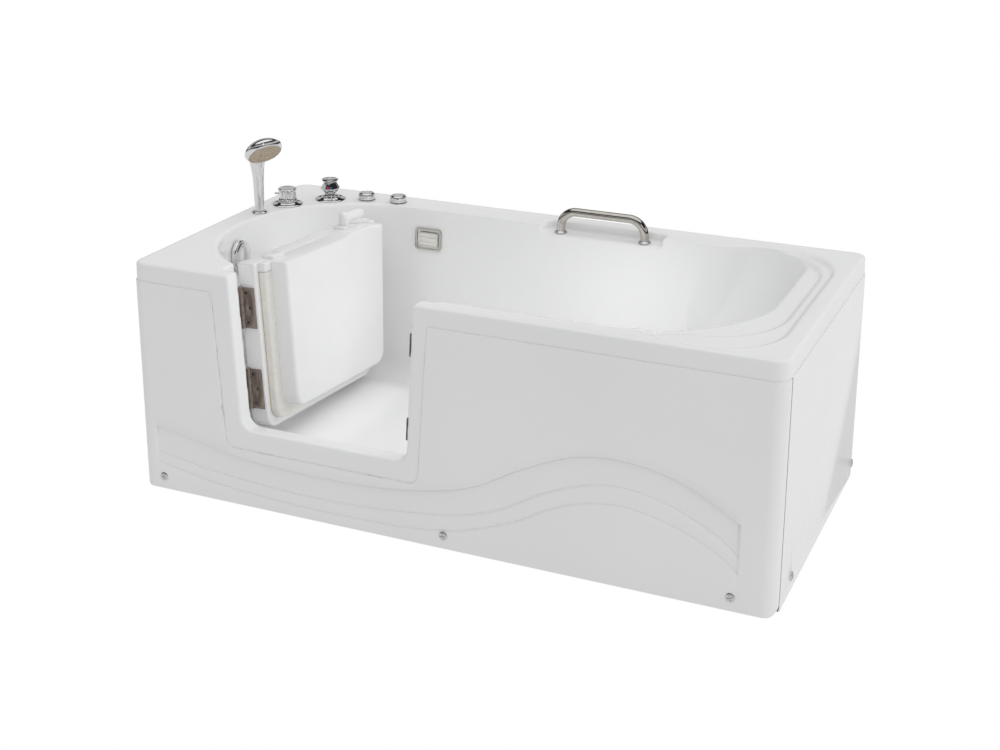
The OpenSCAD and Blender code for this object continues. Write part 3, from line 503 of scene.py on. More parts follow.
def edit(piece, kind="FACE", select="SELECT"):
    only(piece)
    bpy.ops.object.mode_set(mode="EDIT")
    bpy.ops.mesh.select_mode(type=kind)
    bpy.ops.mesh.select_all(action=select)


def leave():
    bpy.ops.object.mode_set(mode="OBJECT")


def pick(piece, kind, test):
    """Open a piece for editing with only the parts that pass the test selected."""
    edit(piece, kind, "DESELECT")
    leave()
    mesh = piece.data
    if kind == "FACE":
        for face in mesh.polygons:
            face.select = test(face.center, face.normal)
    elif kind == "EDGE":
        for edge in mesh.edges:
            start, end = (mesh.vertices[index].co for index in edge.vertices)
            edge.select = test((start + end) / 2, (end - start).normalized())
    else:
        for vertex in mesh.vertices:
            vertex.select = test(vertex.co)
    bpy.ops.object.mode_set(mode="EDIT")


def apply(piece, kind, **settings):
    only(piece)
    bpy.ops.object.modifier_add(type=kind)
    modifier = piece.modifiers[-1]
    for name, value in settings.items():
        setattr(modifier, name, value)
    bpy.ops.object.modifier_apply(modifier=modifier.name)


def settle(piece):
    only(piece)
    bpy.ops.object.transform_apply(location=True, rotation=True, scale=True)


def tidy_faces(piece):
    edit(piece)
    bpy.ops.mesh.remove_doubles(threshold=0.00002)
    bpy.ops.mesh.normals_make_consistent(inside=False)
    leave()


def add_piece(name):
    piece = bpy.context.object
    piece.name = name
    piece.data.name = name
    return piece


def copy_node(name, node):
    """A merged copy of a node's mesh, to be worked on as a new piece."""
    piece = bpy.data.objects.new(name, nodes[node].data.copy())
    bpy.context.scene.collection.objects.link(piece)
    edit(piece)
    bpy.ops.mesh.remove_doubles(threshold=0.00002)
    leave()
    return piece


def join(name, *pieces):
    bpy.ops.object.select_all(action="DESELECT")
    for piece in pieces:
        piece.select_set(True)
    bpy.context.view_layer.objects.active = pieces[0]
    if len(pieces) > 1:
        bpy.ops.object.join()
    return add_piece(name)


def dress(piece, body, slot, *replaced, finish=None, angle=35):
    only(piece)
    bpy.ops.object.shade_smooth_by_angle(angle=math.radians(angle))
    piece.data.materials.clear()
    piece.data.materials.append(finish or SLOT_FINISH[slot])
    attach(piece, body)
    if replaced:
        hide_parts(*replaced)
    return piece


def soften(piece, width, segments=3, angle=30):
    apply(piece, "BEVEL", width=width, segments=segments, limit_method="ANGLE",
          angle_limit=math.radians(angle), use_clamp_overlap=True, harden_normals=False)


def flat_form(name, corners, rounds, segments=8):
    """A flat face through four or more corners, some of them rounded.

    It starts as a plane whose corners are pulled into place, one by one,
    and each corner is rounded by its own bevel."""
    bpy.ops.mesh.primitive_circle_add(vertices=len(corners), radius=0.1, fill_type="NGON")
    piece = add_piece(name)
    for vertex, corner in zip(piece.data.vertices, corners):
        vertex.co = corner
    for corner, radius in zip(corners, rounds):
        if radius:
            pick(piece, "VERT", lambda co, spot=Vector(corner): (co - spot).length < 1e-5)
            bpy.ops.mesh.bevel(offset_type="OFFSET", offset=radius, segments=segments,
                               affect="VERTICES", clamp_overlap=False)
            leave()
    return piece


def pull(piece, along):
    """Turn a flat form into a closed block by drawing it out along a line."""
    edit(piece)
    bpy.ops.mesh.extrude_region_move(TRANSFORM_OT_translate={"value": along})
    bpy.ops.mesh.select_all(action="SELECT")
    bpy.ops.mesh.normals_make_consistent(inside=False)
    leave()
    return piece


def turned(name, place, outline, axis=(0, 0, 1), steps=64):
    """A lathe piece: one point drawn through radii and heights in mm, then spun."""
    axis = Vector(axis).normalized()
    side = axis.orthogonal().normalized()
    spots = [place + (side * radius + axis * height) * MM for radius, height in outline]
    bpy.ops.mesh.primitive_plane_add(size=0.001, location=spots[0])
    piece = add_piece(name)
    settle(piece)
    edit(piece, "VERT")
    bpy.ops.mesh.merge(type="CENTER")
    for start, end in zip(spots, spots[1:]):
        bpy.ops.mesh.extrude_region_move(TRANSFORM_OT_translate={"value": end - start})
    bpy.ops.mesh.select_all(action="SELECT")
    bpy.ops.mesh.spin(steps=steps, angle=math.tau, center=place, axis=axis)
    bpy.ops.mesh.select_all(action="SELECT")
    bpy.ops.mesh.remove_doubles(threshold=0.00003)
    bpy.ops.mesh.normals_make_consistent(inside=False)
    leave()
    return piece


def drawn(name, stations, sides=24):
    """A round bar drawn from station to station: place, direction, radius in mm."""
    place, along, radius = stations[0]
    bpy.ops.mesh.primitive_circle_add(vertices=sides, radius=radius * MM, fill_type="NGON")
    piece = add_piece(name)
    piece.rotation_mode = "QUATERNION"
    piece.rotation_quaternion = Vector((0, 0, 1)).rotation_difference(along)
    piece.location = place
    settle(piece)
    edit(piece)
    for new_place, new_along, new_radius in stations[1:]:
        bpy.ops.mesh.extrude_region_move()
        leave()
        turn = along.rotation_difference(new_along)
        for vertex in piece.data.vertices:
            if vertex.select:
                vertex.co = new_place + turn @ (vertex.co - place) * (new_radius / radius)
        bpy.ops.object.mode_set(mode="EDIT")
        place, along, radius = new_place, new_along, new_radius
    bpy.ops.mesh.select_all(action="SELECT")
    bpy.ops.mesh.normals_make_consistent(inside=False)
    leave()
    return piece


def block(name, low, high, round_by=0.0, segments=3):
    """A block between two corners with its edges rounded."""
    low, high = Vector(low), Vector(high)
    bpy.ops.mesh.primitive_cube_add(size=1, location=(low + high) / 2)
    piece = add_piece(name)
    piece.scale = high - low
    settle(piece)
    if round_by:
        soften(piece, round_by, segments)
    return piece


def turn_about(piece, place, turn):
    piece.matrix_world = Matrix.Translation(place) @ turn.to_4x4() @ Matrix.Translation(-place)
    settle(piece)
    return piece


def carve(piece, cutter):
    apply(piece, "BOOLEAN", operation="DIFFERENCE", object=cutter, solver="EXACT")
    bpy.data.objects.remove(cutter)


# ---------- the moulded tub ----------

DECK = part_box("tub_shell")[1].z
SKIRT_LOW, SKIRT_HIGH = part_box("front_skirt")
LIP_FOOT = SKIRT_HIGH.z + 0.5 * MM
HALF = SKIRT_HIGH.x
DOOR_SIDE = SKIRT_LOW.y
JAMB_LEAN = math.radians(3.2)
JAMB_SLOPE = math.tan(JAMB_LEAN)
JAMB_LEFT = -HALF + 0.260
JAMB_RIGHT = -HALF + 0.717
SILL = DECK - 0.366
JAMB_ROUND = 18 * MM
LIP_BAND = 22 * MM
TRIM_BAND = 12 * MM
APRON_DEPTH = 14 * MM


def left_jamb(z):
    return JAMB_LEFT + (DECK - z) * JAMB_SLOPE


def right_jamb(z):
    return JAMB_RIGHT - (DECK - z) * JAMB_SLOPE


def near_doorway(co):
    inside = min(co.x - left_jamb(co.z), right_jamb(co.z) - co.x, co.z - SILL)
    return abs(inside) < JAMB_ROUND


def takes_rounding(co):
    """Where the mould has generous radii, unlike along its trimmed edges."""
    at_side = abs(co.x) > HALF - TRIM_BAND or abs(co.y) > -DOOR_SIDE - TRIM_BAND
    trimmed_lip = co.z < LIP_FOOT + LIP_BAND and at_side
    apron = co.y < DOOR_SIDE + APRON_DEPTH and co.z < LIP_FOOT
    if apron:
        return near_doorway(co)
    return not trimmed_lip


def soft_group(piece, name, test):
    group = piece.vertex_groups.new(name=name)
    group.add([vertex.index for vertex in piece.data.vertices if test(vertex.co)], 1.0, "REPLACE")
    return name


def thin_out(piece, triangles):
    count = sum(len(face.vertices) - 2 for face in piece.data.polygons)
    if count > triangles:
        apply(piece, "DECIMATE", ratio=triangles / count)


SHELL_GRAIN = 3.2 * MM
SHELL_TRIANGLES = 190000


def make_tub():
    tub = copy_node("moulded_tub", "tub_shell")
    apply(tub, "REMESH", mode="VOXEL", voxel_size=SHELL_GRAIN, use_smooth_shade=True)
    apply(tub, "SMOOTH", factor=0.5, iterations=3)
    group = soft_group(tub, "generous_radii", takes_rounding)
    apply(tub, "SMOOTH", factor=0.5, iterations=14, vertex_group=group)
    thin_out(tub, SHELL_TRIANGLES)
    dress(tub, "tub", "white_acrylic", "tub_shell", angle=60)


# ---------- front skirt with its wave ----------

PANEL = 4 * MM
CORNER = 31 * MM
WAVE_DEPTH = 4.4 * MM
CREASE_DEPTH = 4.2 * MM
FOOT_ROUND = 18 * MM
SKIRT_TOP = LIP_FOOT + 2 * MM
SEAM = 7 * MM
WAVE_LEFT = 0.043
WAVE_RIGHT = 1.443
WAVE_END = 7 * MM
LOWER_SHARE = 0.5
CREST_CREASE = 2.0 * MM
LINE_CREASE = 2.2 * MM
LINE_SHARE = 0.6
STEP_WIDTH = 8.5 * MM
CREST_SHARE = 0.5
STEP_ROWS = [-4.6, -3.2, -2.0, -0.9, 0.2, 1.3, 2.4, 3.6, 4.8]
END_COLUMNS = (-5, -3, -1.5, 0, 1.5, 3, 5)
COLUMN_START = 60 * MM
COLUMN_STEP = 8.5 * MM
COLUMN_COUNT = 162
TURN_COLUMNS = 10
TOP_ROWS = 10
RIM_ROUND = 1.3 * MM
# crest, middle and trough lines of the wave: mm along the skirt and mm above the ground
CREST = [(41, 159), (145, 143), (265, 120), (468, 111), (672, 120), (845, 158),
         (972, 227), (1094, 278), (1214, 286), (1330, 259), (1441, 198)]
MIDDLE = [(45, 93), (225, 68), (502, 57), (780, 80), (909, 118), (1034, 188),
          (1150, 225), (1267, 216), (1390, 165), (1444, 124)]
TROUGH = [(46, 67), (224, 40), (502, 28), (780, 43), (941, 96), (1065, 162),
          (1180, 186), (1286, 169), (1391, 127), (1449, 83)]


def curve_height(points, along):
    """Height of a smooth curve through points at a place along the skirt."""
    reach = [x * MM for x, _ in points]
    heights = [z * MM for _, z in points]
    if along <= reach[0]:
        return heights[0]
    if along >= reach[-1]:
        return heights[-1]
    last = len(points) - 1
    index = max(i for i in range(last) if reach[i] <= along)
    span = reach[index + 1] - reach[index]
    t = (along - reach[index]) / span

    def slope(i):
        low, high = max(i - 1, 0), min(i + 1, last)
        return (heights[high] - heights[low]) / (reach[high] - reach[low])

    a, b = heights[index], heights[index + 1]
    return ((2 * t**3 - 3 * t**2 + 1) * a + (t**3 - 2 * t**2 + t) * span * slope(index)
            + (3 * t**2 - 2 * t**3) * b + (t**3 - t**2) * span * slope(index + 1))


def step_up(value, width):
    t = min(1.0, max(0.0, value / width + 0.5))
    return t * t * (3 - 2 * t)


def wave_relief(along, z):
    """How far the wave field lies behind the skirt's face."""
    ends = step_up(along - WAVE_LEFT, WAVE_END) * step_up(WAVE_RIGHT - along, WAVE_END)
    if ends == 0:
        return 0.0
    crest = curve_height(CREST, along)
    middle = curve_height(MIDDLE, along)
    trough = curve_height(TROUGH, along)
    upper = step_up(crest - z, STEP_WIDTH * CREST_SHARE) * step_up(z - middle, STEP_WIDTH)
    lower = step_up(middle - z, STEP_WIDTH) * step_up(z - trough, STEP_WIDTH)
    lines = pinch(middle - z, LINE_CREASE) + pinch(z - trough, LINE_CREASE)
    crease = pinch(crest - z - 0.8 * MM, CREST_CREASE) + LINE_SHARE * lines
    return ends * (WAVE_DEPTH * (upper + LOWER_SHARE * lower) + CREASE_DEPTH * crease)


def pinch(away, width):
    """A narrow groove: 1 on its line and nothing a little way off."""
    return math.exp(-(away / width) ** 2)


def skirt_columns():
    """Places along the skirt's outline, closer together where it turns or steps."""
    arc = CORNER * math.pi / 2
    turn = [arc * i / TURN_COLUMNS for i in range(TURN_COLUMNS)]
    edges = [WAVE_LEFT + offset * MM for offset in END_COLUMNS]
    closing = [WAVE_RIGHT + offset * MM for offset in END_COLUMNS]
    middle = [COLUMN_START + COLUMN_STEP * i for i in range(COLUMN_COUNT)]
    flat = sorted(x for x in [CORNER] + edges + middle + closing + [2 * HALF - CORNER]
                  if CORNER <= x <= 2 * HALF - CORNER)
    left = [("turn", -arc + length) for length in turn]
    right = [("turn_end", arc * (i + 1) / TURN_COLUMNS) for i in range(TURN_COLUMNS)]
    return left + [("flat", x) for x in flat] + right


def skirt_spot(kind, value):
    """Outline point and outward direction for a place along the skirt."""
    if kind == "flat":
        return Vector((-HALF + value, DOOR_SIDE, 0)), Vector((0, -1, 0))
    angle = value / CORNER
    side = -1 if kind == "turn" else 1
    out = Vector((math.sin(angle), -math.cos(angle), 0))
    centre = Vector((side * (HALF - CORNER), DOOR_SIDE + CORNER, 0))
    return centre + out * CORNER, out


def skirt_foot(spot):
    """The foot rises round both corners of the panel."""
    inward = max(0.0, FOOT_ROUND - (HALF - abs(spot.x)))
    return SKIRT_LOW.z + FOOT_ROUND - math.sqrt(FOOT_ROUND**2 - min(inward, FOOT_ROUND)**2)


def skirt_rows(along, foot=0.0):
    rows = [max(SKIRT_LOW.z, foot), max(SKIRT_LOW.z, foot) + 4 * MM]
    for points, share in ((TROUGH, 1), (MIDDLE, 1), (CREST, CREST_SHARE)):
        height = curve_height(points, along)
        rows += [height + offset * share * MM for offset in STEP_ROWS]
    last = rows[-1]
    rows += [last + (SKIRT_TOP - last) * i / TOP_ROWS for i in range(1, TOP_ROWS + 1)]
    return rows


def make_skirt():
    columns = skirt_columns()
    count = len(skirt_rows(0.1))
    bpy.ops.mesh.primitive_grid_add(x_subdivisions=len(columns) - 1, y_subdivisions=count - 1, size=1)
    skirt = add_piece("wave_skirt")
    for index, vertex in enumerate(skirt.data.vertices):
        row, column = divmod(index, len(columns))
        kind, value = columns[column]
        along = value if kind == "flat" else (0.0 if kind == "turn" else 2 * HALF)
        spot, out = skirt_spot(kind, value)
        height = skirt_rows(along, skirt_foot(spot))[row]
        depth = wave_relief(along, height) if kind == "flat" else 0.0
        vertex.co = spot - out * depth + Vector((0, 0, height))
    apply(skirt, "SOLIDIFY", thickness=PANEL, offset=-1)
    tidy_faces(skirt)
    carve(skirt, apron_block(-1.0 * MM, DOOR_SIDE - 0.02, DOOR_SIDE + 0.03))
    pick(skirt, "EDGE", on_skirt_rim)
    bpy.ops.mesh.bevel(offset=RIM_ROUND, segments=3, affect="EDGES")
    leave()
    dress(skirt, "tub", "white_acrylic", "front_skirt", angle=50)


APRON_LEFT_TOP = -HALF + 0.213
APRON_LEFT_FOOT = -HALF + 0.236
APRON_RIGHT_TOP = -HALF + 0.753
APRON_RIGHT_FOOT = -HALF + 0.726
APRON_FOOT = 0.141
APRON_ROUND = 24 * MM
NEAR_APRON = (-HALF + 0.20, -HALF + 0.77)


def on_skirt_rim(middle, along):
    """The front edge of the skirt beside the apron and along its top and foot."""
    if middle.y > DOOR_SIDE + 0.4 * MM:
        return False
    flat = abs(middle.z - SKIRT_TOP) < 0.05 * MM
    beside_apron = NEAR_APRON[0] < middle.x < NEAR_APRON[1] and abs(along.y) < 0.2 and not flat
    end = abs(middle.x) > HALF - 0.4 * MM and abs(along.z) > 0.9
    return flat and abs(along.z) < 0.1 or end or beside_apron and is_apron_edge(middle)


def is_apron_edge(middle):
    """Whether a point lies on the outline that the apron cuts out of the skirt."""
    share = (LIP_FOOT - middle.z) / (LIP_FOOT - APRON_FOOT)
    left = APRON_LEFT_TOP + share * (APRON_LEFT_FOOT - APRON_LEFT_TOP)
    right = APRON_RIGHT_TOP - share * (APRON_RIGHT_TOP - APRON_RIGHT_FOOT)
    inside = min(middle.x - left, right - middle.x, middle.z - APRON_FOOT)
    in_corner = middle.z < APRON_FOOT + APRON_ROUND and 0 < inside < 9 * MM
    return -0.4 * MM < inside < 2.4 * MM or in_corner


def apron_block(gap, near, far):
    """The apron's outline as a block between two depths."""
    top = DECK + 0.02
    left, right = APRON_LEFT_TOP - gap, APRON_RIGHT_TOP + gap
    foot = APRON_FOOT - gap
    corners = [(left, near, top), (left, near, LIP_FOOT), (APRON_LEFT_FOOT - gap, near, foot),
               (APRON_RIGHT_FOOT + gap, near, foot), (right, near, LIP_FOOT), (right, near, top)]
    outline = flat_form("apron_cutter", corners, [0, 0, APRON_ROUND, APRON_ROUND, 0, 0])
    return pull(outline, (0, far - near, 0))


# ---------- door, made shut and swung to where it stands ----------

AXIS_HEIGHT = DECK - 0.156
AXIS_PLACE = Vector((left_jamb(AXIS_HEIGHT) - 0.0377, DOOR_SIDE + 0.105, AXIS_HEIGHT))
AXIS_LINE = Vector((-math.sin(JAMB_LEAN), 0, math.cos(JAMB_LEAN)))
DOOR_OPEN = math.radians(88)
FLANGE_FRONT = DOOR_SIDE + 0.064
FLANGE_BACK = DOOR_SIDE + 0.111
FLANGE_FOOT = SILL - 0.042
GASKET_FRONT = DOOR_SIDE + 0.0445
DOOR_TOP = DECK - 4 * MM
PLUG_TAPER = (0.994, 1, 0.998)


def swing(piece):
    """Turn a piece that was made shut about the hinge line to the open door."""
    settle(piece)
    turn = Matrix.Rotation(DOOR_OPEN, 4, AXIS_LINE)
    piece.matrix_world = Matrix.Translation(AXIS_PLACE) @ turn @ Matrix.Translation(-AXIS_PLACE)
    settle(piece)
    return piece


def door_form(name, left, right, foot, radius, top, near):
    """Doorway shaped face, left and right outside the jambs, at one depth."""
    corners = [(left_jamb(top) - left, near, top), (left_jamb(foot) - left, near, foot),
               (right_jamb(foot) + right, near, foot), (right_jamb(top) + right, near, top)]
    return flat_form(name, corners, [0, radius, radius, 0], 10)


def make_door_panel():
    """The plug that fills the doorway: a deep tray form with soft front edges."""
    near, back = DOOR_SIDE + 3 * MM, FLANGE_FRONT + 0.5 * MM
    plug = door_form("door_plug", -5 * MM, -9 * MM, SILL + 6 * MM, 33 * MM, DOOR_TOP, back)
    pull(plug, (0, near - back, 0))
    middle = (left_jamb(0.37) + right_jamb(0.37)) / 2
    pick(plug, "VERT", lambda co: co.y < near + 1 * MM)
    bpy.ops.transform.resize(value=PLUG_TAPER, center_override=(middle, near, DOOR_TOP))
    leave()
    raise_top(plug)
    pick(plug, "EDGE", lambda co, along: co.y < near + 0.2 * MM and abs(along.y) < 0.5)
    bpy.ops.mesh.bevel(offset=8 * MM, segments=6, profile=0.5, affect="EDGES")
    leave()
    soften(plug, 2.5 * MM, 3, 40)
    return plug


SHAFT_X = -HALF + 0.607
BOSS_RISE = 8 * MM
BOSS_FLAT = 30 * MM
BOSS_REACH = 100 * MM


def raise_top(piece):
    """Cut the top edge into short lengths and lift the stretch under the lever."""
    pick(piece, "EDGE", lambda co, along: co.z > DOOR_TOP - 0.2 * MM and abs(along.x) > 0.9)
    bpy.ops.mesh.subdivide(number_cuts=31)
    leave()
    for vertex in piece.data.vertices:
        if vertex.co.z > DOOR_TOP - 0.2 * MM:
            away = max(0.0, abs(vertex.co.x - SHAFT_X) - BOSS_FLAT)
            share = min(1.0, away / (BOSS_REACH - BOSS_FLAT))
            vertex.co.z += BOSS_RISE * (1 + math.cos(math.pi * share)) / 2


def make_door_flange():
    flange = door_form("door_flange", 34.36 * MM, 28 * MM, FLANGE_FOOT, 34 * MM, DOOR_TOP, FLANGE_FRONT)
    pull(flange, (0, FLANGE_BACK - FLANGE_FRONT, 0))
    raise_top(flange)
    pick(flange, "EDGE", lambda co, along: abs(along.y) < 0.5)
    bpy.ops.mesh.bevel(offset=4.5 * MM, segments=4, affect="EDGES")
    leave()
    return flange


def make_gasket_caps():
    """White end pieces that close the gasket at the door's top edge."""
    caps = []
    for side in (-1, 1):
        foot = DECK - 25.5 * MM
        if side < 0:
            edge = [left_jamb(DOOR_TOP) - 20 * MM, left_jamb(foot) - 20 * MM]
            inner = [left_jamb(foot) + 8 * MM, left_jamb(DOOR_TOP) + 8 * MM]
        else:
            edge = [right_jamb(DOOR_TOP) + 18 * MM, right_jamb(foot) + 18 * MM]
            inner = [right_jamb(foot) - 12 * MM, right_jamb(DOOR_TOP) - 12 * MM]
        near = GASKET_FRONT
        corners = [(edge[0], near, DOOR_TOP), (edge[1], near, foot),
                   (inner[0], near, foot), (inner[1], near, DOOR_TOP)]
        cap = flat_form("gasket_cap", corners, [0, 0, 0, 0])
        pull(cap, (0, 0.0205, 0))
        soften(cap, 3 * MM, 4, 40)
        caps.append(cap)
    return caps


def make_hinge_pad():
    """Thicker stretch of the door's edge above the upper hinge."""
    pad = block("hinge_pad", (0.5 * MM, -30 * MM, -24 * MM), (6 * MM, 2 * MM, 22 * MM), 1.2 * MM, 3)
    reach = (DECK - 0.030 - AXIS_PLACE.z) / AXIS_LINE.z
    lean = Matrix.Rotation(-math.atan(JAMB_SLOPE), 4, "Y")
    pad.matrix_world = Matrix.Translation(AXIS_PLACE + AXIS_LINE * reach) @ lean
    settle(pad)
    return pad


def make_top_pad():
    """Low rounded cushion moulded on the door's top by the hinge."""
    return block("top_pad", (-0.481, DOOR_SIDE + 0.048, DOOR_TOP - 4 * MM),
                 (-0.431, DOOR_SIDE + 0.080, DOOR_TOP + 8 * MM), 4 * MM, 5)


def make_door():
    body = join("door_body", make_door_panel(), make_door_flange(), make_hinge_pad(), make_top_pad(),
                *make_gasket_caps())
    swing(body)
    dress(body, "door", "door_white", "door_shell", "door_liner", angle=40)


def make_gasket():
    near = GASKET_FRONT
    gasket = door_form("door_seal", 20 * MM, 18 * MM, SILL - 22 * MM, 34 * MM, DECK - 26 * MM, near)
    pull(gasket, (0, FLANGE_FRONT - 2 * MM - near, 0))
    pick(gasket, "EDGE", lambda co, along: (
        co.y < near + 0.2 * MM and abs(along.y) < 0.5 and co.z < DECK - 27 * MM))
    bpy.ops.mesh.bevel(offset=7 * MM, segments=6, affect="EDGES")
    leave()
    swing(gasket)
    dress(gasket, "door", "cream_rubber", "door_gasket", angle=50)
    # a tan band of painted shade for the groove between gasket and flange; it stands out about 1 mm round
    # the gasket
    groove_shade = door_form("door_seal_groove_shade", 21 * MM, 19 * MM, SILL - 23 * MM, 35 * MM, DECK - 26.5 * MM,
                    FLANGE_FRONT - 2.2 * MM)
    pull(groove_shade, (0, 2.4 * MM, 0))
    soften(groove_shade, 0.6 * MM, 2, 40)
    swing(groove_shade)
    dress(groove_shade, "door", "cream_rubber", finish=GROOVE_SHADE)


# ---------- end panels and their screws ----------


def make_end_panel(name, node):
    """The end panel, tucked behind the lip, with a dark strip of painted shade where it meets the skirt.
    """
    panel = copy_node(name, node)
    pick(panel, "VERT", lambda co: co.z > SKIRT_HIGH.z - 1 * MM)
    bpy.ops.transform.translate(value=(0, 0, 2.5 * MM))
    leave()
    pick(panel, "VERT", lambda co: co.y < DOOR_SIDE + CORNER + 6 * MM)
    bpy.ops.transform.translate(value=(0, SEAM, 0))
    leave()
    soften(panel, 1.3 * MM, 3, 40)
    dress(panel, "tub", "white_acrylic", node, angle=40)
    side = 1 if name.endswith("right") else -1
    low = Vector((side * HALF - 3 * MM, DOOR_SIDE + CORNER - 2 * MM, SKIRT_LOW.z + 4 * MM))
    high = Vector((side * HALF + 3 * MM, DOOR_SIDE + CORNER + SEAM + 3 * MM, SKIRT_HIGH.z))
    # painted shade: this dark strip stands in for the shadow in the gap between the skirt and the end
    # panel
    strip = block(name + "_strip", low, high, 0.6 * MM, 2)
    strip.location.x -= side * 4.2 * MM
    settle(strip)
    dress(strip, "tub", "cream_rubber", finish=SEAM_SHADE)


def slot_bar(place, axis, turn, length, width, depth):
    """A straight cutter lying across the axis at a place, turned about it."""
    bar = block("slot_bar", (-length / 2, -width / 2, -depth), (length / 2, width / 2, depth))
    turn_about(bar, Vector(), Matrix.Rotation(math.radians(turn), 3, "Z"))
    turn_about(bar, Vector(), UP.rotation_difference(axis).to_matrix())
    bar.location = place
    settle(bar)
    return bar


def make_screw(name, place, axis, radius, rise):
    """A domed cap with a cross slot, seated on the panel face."""
    outline = [(0, -6), (2, -6), (2, 0), (radius, 0), (radius, rise * 0.3), (radius * 0.88, rise * 0.68),
               (radius * 0.6, rise * 0.92), (0, rise)]
    screw = turned(name, place, outline, axis, 40)
    top = place + axis * rise * MM
    for turn in (20, 110):
        carve(screw, slot_bar(top, axis, turn, radius * 1.4 * MM, 2.0 * MM, 2.2 * MM))
    return screw


SCREW_HEIGHT = SKIRT_LOW.z + 31 * MM
FRONT_SCREWS = (-HALF + 0.059, -HALF + 0.787, HALF - 0.093)
END_SCREWS = (DOOR_SIDE + 0.136, -DOOR_SIDE - 0.029)
SCREW_RADIUS = 10.2
SCREW_RISE = 2.9


def make_panel_screws():
    seats = [(Vector((x, DOOR_SIDE, SCREW_HEIGHT)), Vector((0, -1, 0))) for x in FRONT_SCREWS]
    for y in END_SCREWS:
        for side in (-1, 1):
            seats.append((Vector((side * HALF, y, SCREW_HEIGHT)), Vector((side, 0, 0))))
    screws = [make_screw("screw", place, axis, SCREW_RADIUS, SCREW_RISE) for place, axis in seats]
    dress(join("panel_screw_caps", *screws), "tub", "stainless", "panel_screws", finish=BRIGHT_STEEL)


# ---------- fittings on the deck ----------


def deck_spot(node):
    low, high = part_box(node)
    return Vector(((low.x + high.x) / 2, (low.y + high.y) / 2, DECK))


def make_deck_flange(name, node):
    low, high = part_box(node)
    radius = (high.x - low.x) / 2 / MM
    flange = turned(name, deck_spot(node), [
        (14.5, 0), (radius, 0), (radius, 1.5), (radius - 3, 3.2), (radius - 12, 4.4),
        (radius - 15, 7), (14.5, 7), (14.5, 0)], steps=80)
    soften(flange, 0.7 * MM, 2, 12)
    dress(flange, "tub", "chrome", node)


def flute(piece, place, count, depth, low, high):
    """Press shallow flutes into the side of a turned piece."""
    for vertex in piece.data.vertices:
        across = vertex.co - place
        if low < across.z < high:
            angle = math.atan2(across.y, across.x)
            share = 1 - depth * (0.5 + 0.5 * math.cos(angle * count))
            vertex.co.x = place.x + across.x * share
            vertex.co.y = place.y + across.y * share


def make_diverter():
    spot = deck_spot("diverter_flange")
    knob = turned("diverter_handle", spot, [
        (0, 7.5), (24, 7.5), (24.4, 10), (23.6, 13), (23, 15), (22.5, 20), (22.2, 26), (22, 32),
        (22.4, 36), (23.4, 38), (23.4, 41), (21.5, 42.5), (0, 42.5)], steps=96)
    flute(knob, spot, 12, 0.10, 14 * MM, 37 * MM)
    soften(knob, 0.5 * MM, 2, 35)
    direction = Vector((-math.cos(math.radians(30)), -math.sin(math.radians(30)), 0))
    pin = turned("diverter_pin", spot + UP * 29 * MM, [
        (0, 18), (2.6, 18), (2.6, 30.5), (1.8, 32.4), (0, 33)], direction, 24)
    dress(join("diverter_handle", knob, pin), "diverter", "chrome", "diverter_knob")


def make_mixer():
    spot = deck_spot("mixer_flange")
    neck = turned("mixer_neck", spot, [
        (0, 7.5), (20, 7.5), (19, 10), (15.5, 13), (15, 16), (0, 16)], steps=64)
    bpy.ops.mesh.primitive_cylinder_add(vertices=8, radius=15 * MM, depth=4 * MM,
                                        location=spot + UP * 16 * MM)
    bulb = add_piece("mixer_bulb")
    settle(bulb)
    pick(bulb, "FACE", lambda centre, normal: normal.z > 0.9)
    for rise, scale in ((10, 1.66), (3, 1.04), (11, 0.72), (6, 0.84)):
        bpy.ops.mesh.extrude_region_move(TRANSFORM_OT_translate={"value": UP * rise * MM})
        bpy.ops.transform.resize(value=(scale, scale, 1), center_override=spot)
    leave()
    soften(bulb, 1.1 * MM, 3, 15)
    dress(join("mixer_handle", neck, bulb), "mixer", "chrome", "mixer_knob", angle=25)
    foot = Vector((spot.x, spot.y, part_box("mixer_cap")[0].z))
    cap = turned("mixer_top", foot, [
        (0, 0), (17.5, 0), (20.6, 1.2), (21.5, 2.6), (21.2, 4.2), (19, 5.2), (11, 5.9), (8.8, 5.9),
        (8.4, 5.3), (0, 6.0)], steps=72)
    dress(cap, "mixer", "chrome", "mixer_cap")
    turn = math.radians(-67.5)
    out = Vector((math.cos(turn), math.sin(turn), 0))
    across = Vector((-out.y, out.x, 0))
    seat = spot + out * 21.6 * MM + UP * 34.5 * MM
    outline = [(0, -1), (3.1, -1), (3.1, 0.5), (2.6, 0.9), (0, 1.0)]
    for name, side, colour in (("hot_dot", -1, (0.60, 0.02, 0.05)), ("cold_dot", 1, (0.03, 0.12, 0.35))):
        mark = turned(name, seat + across * side * 3.6 * MM, outline, out * 0.854 + UP * 0.52, 24)
        dress(mark, "mixer", "chrome", finish=dot_enamel(name, colour))


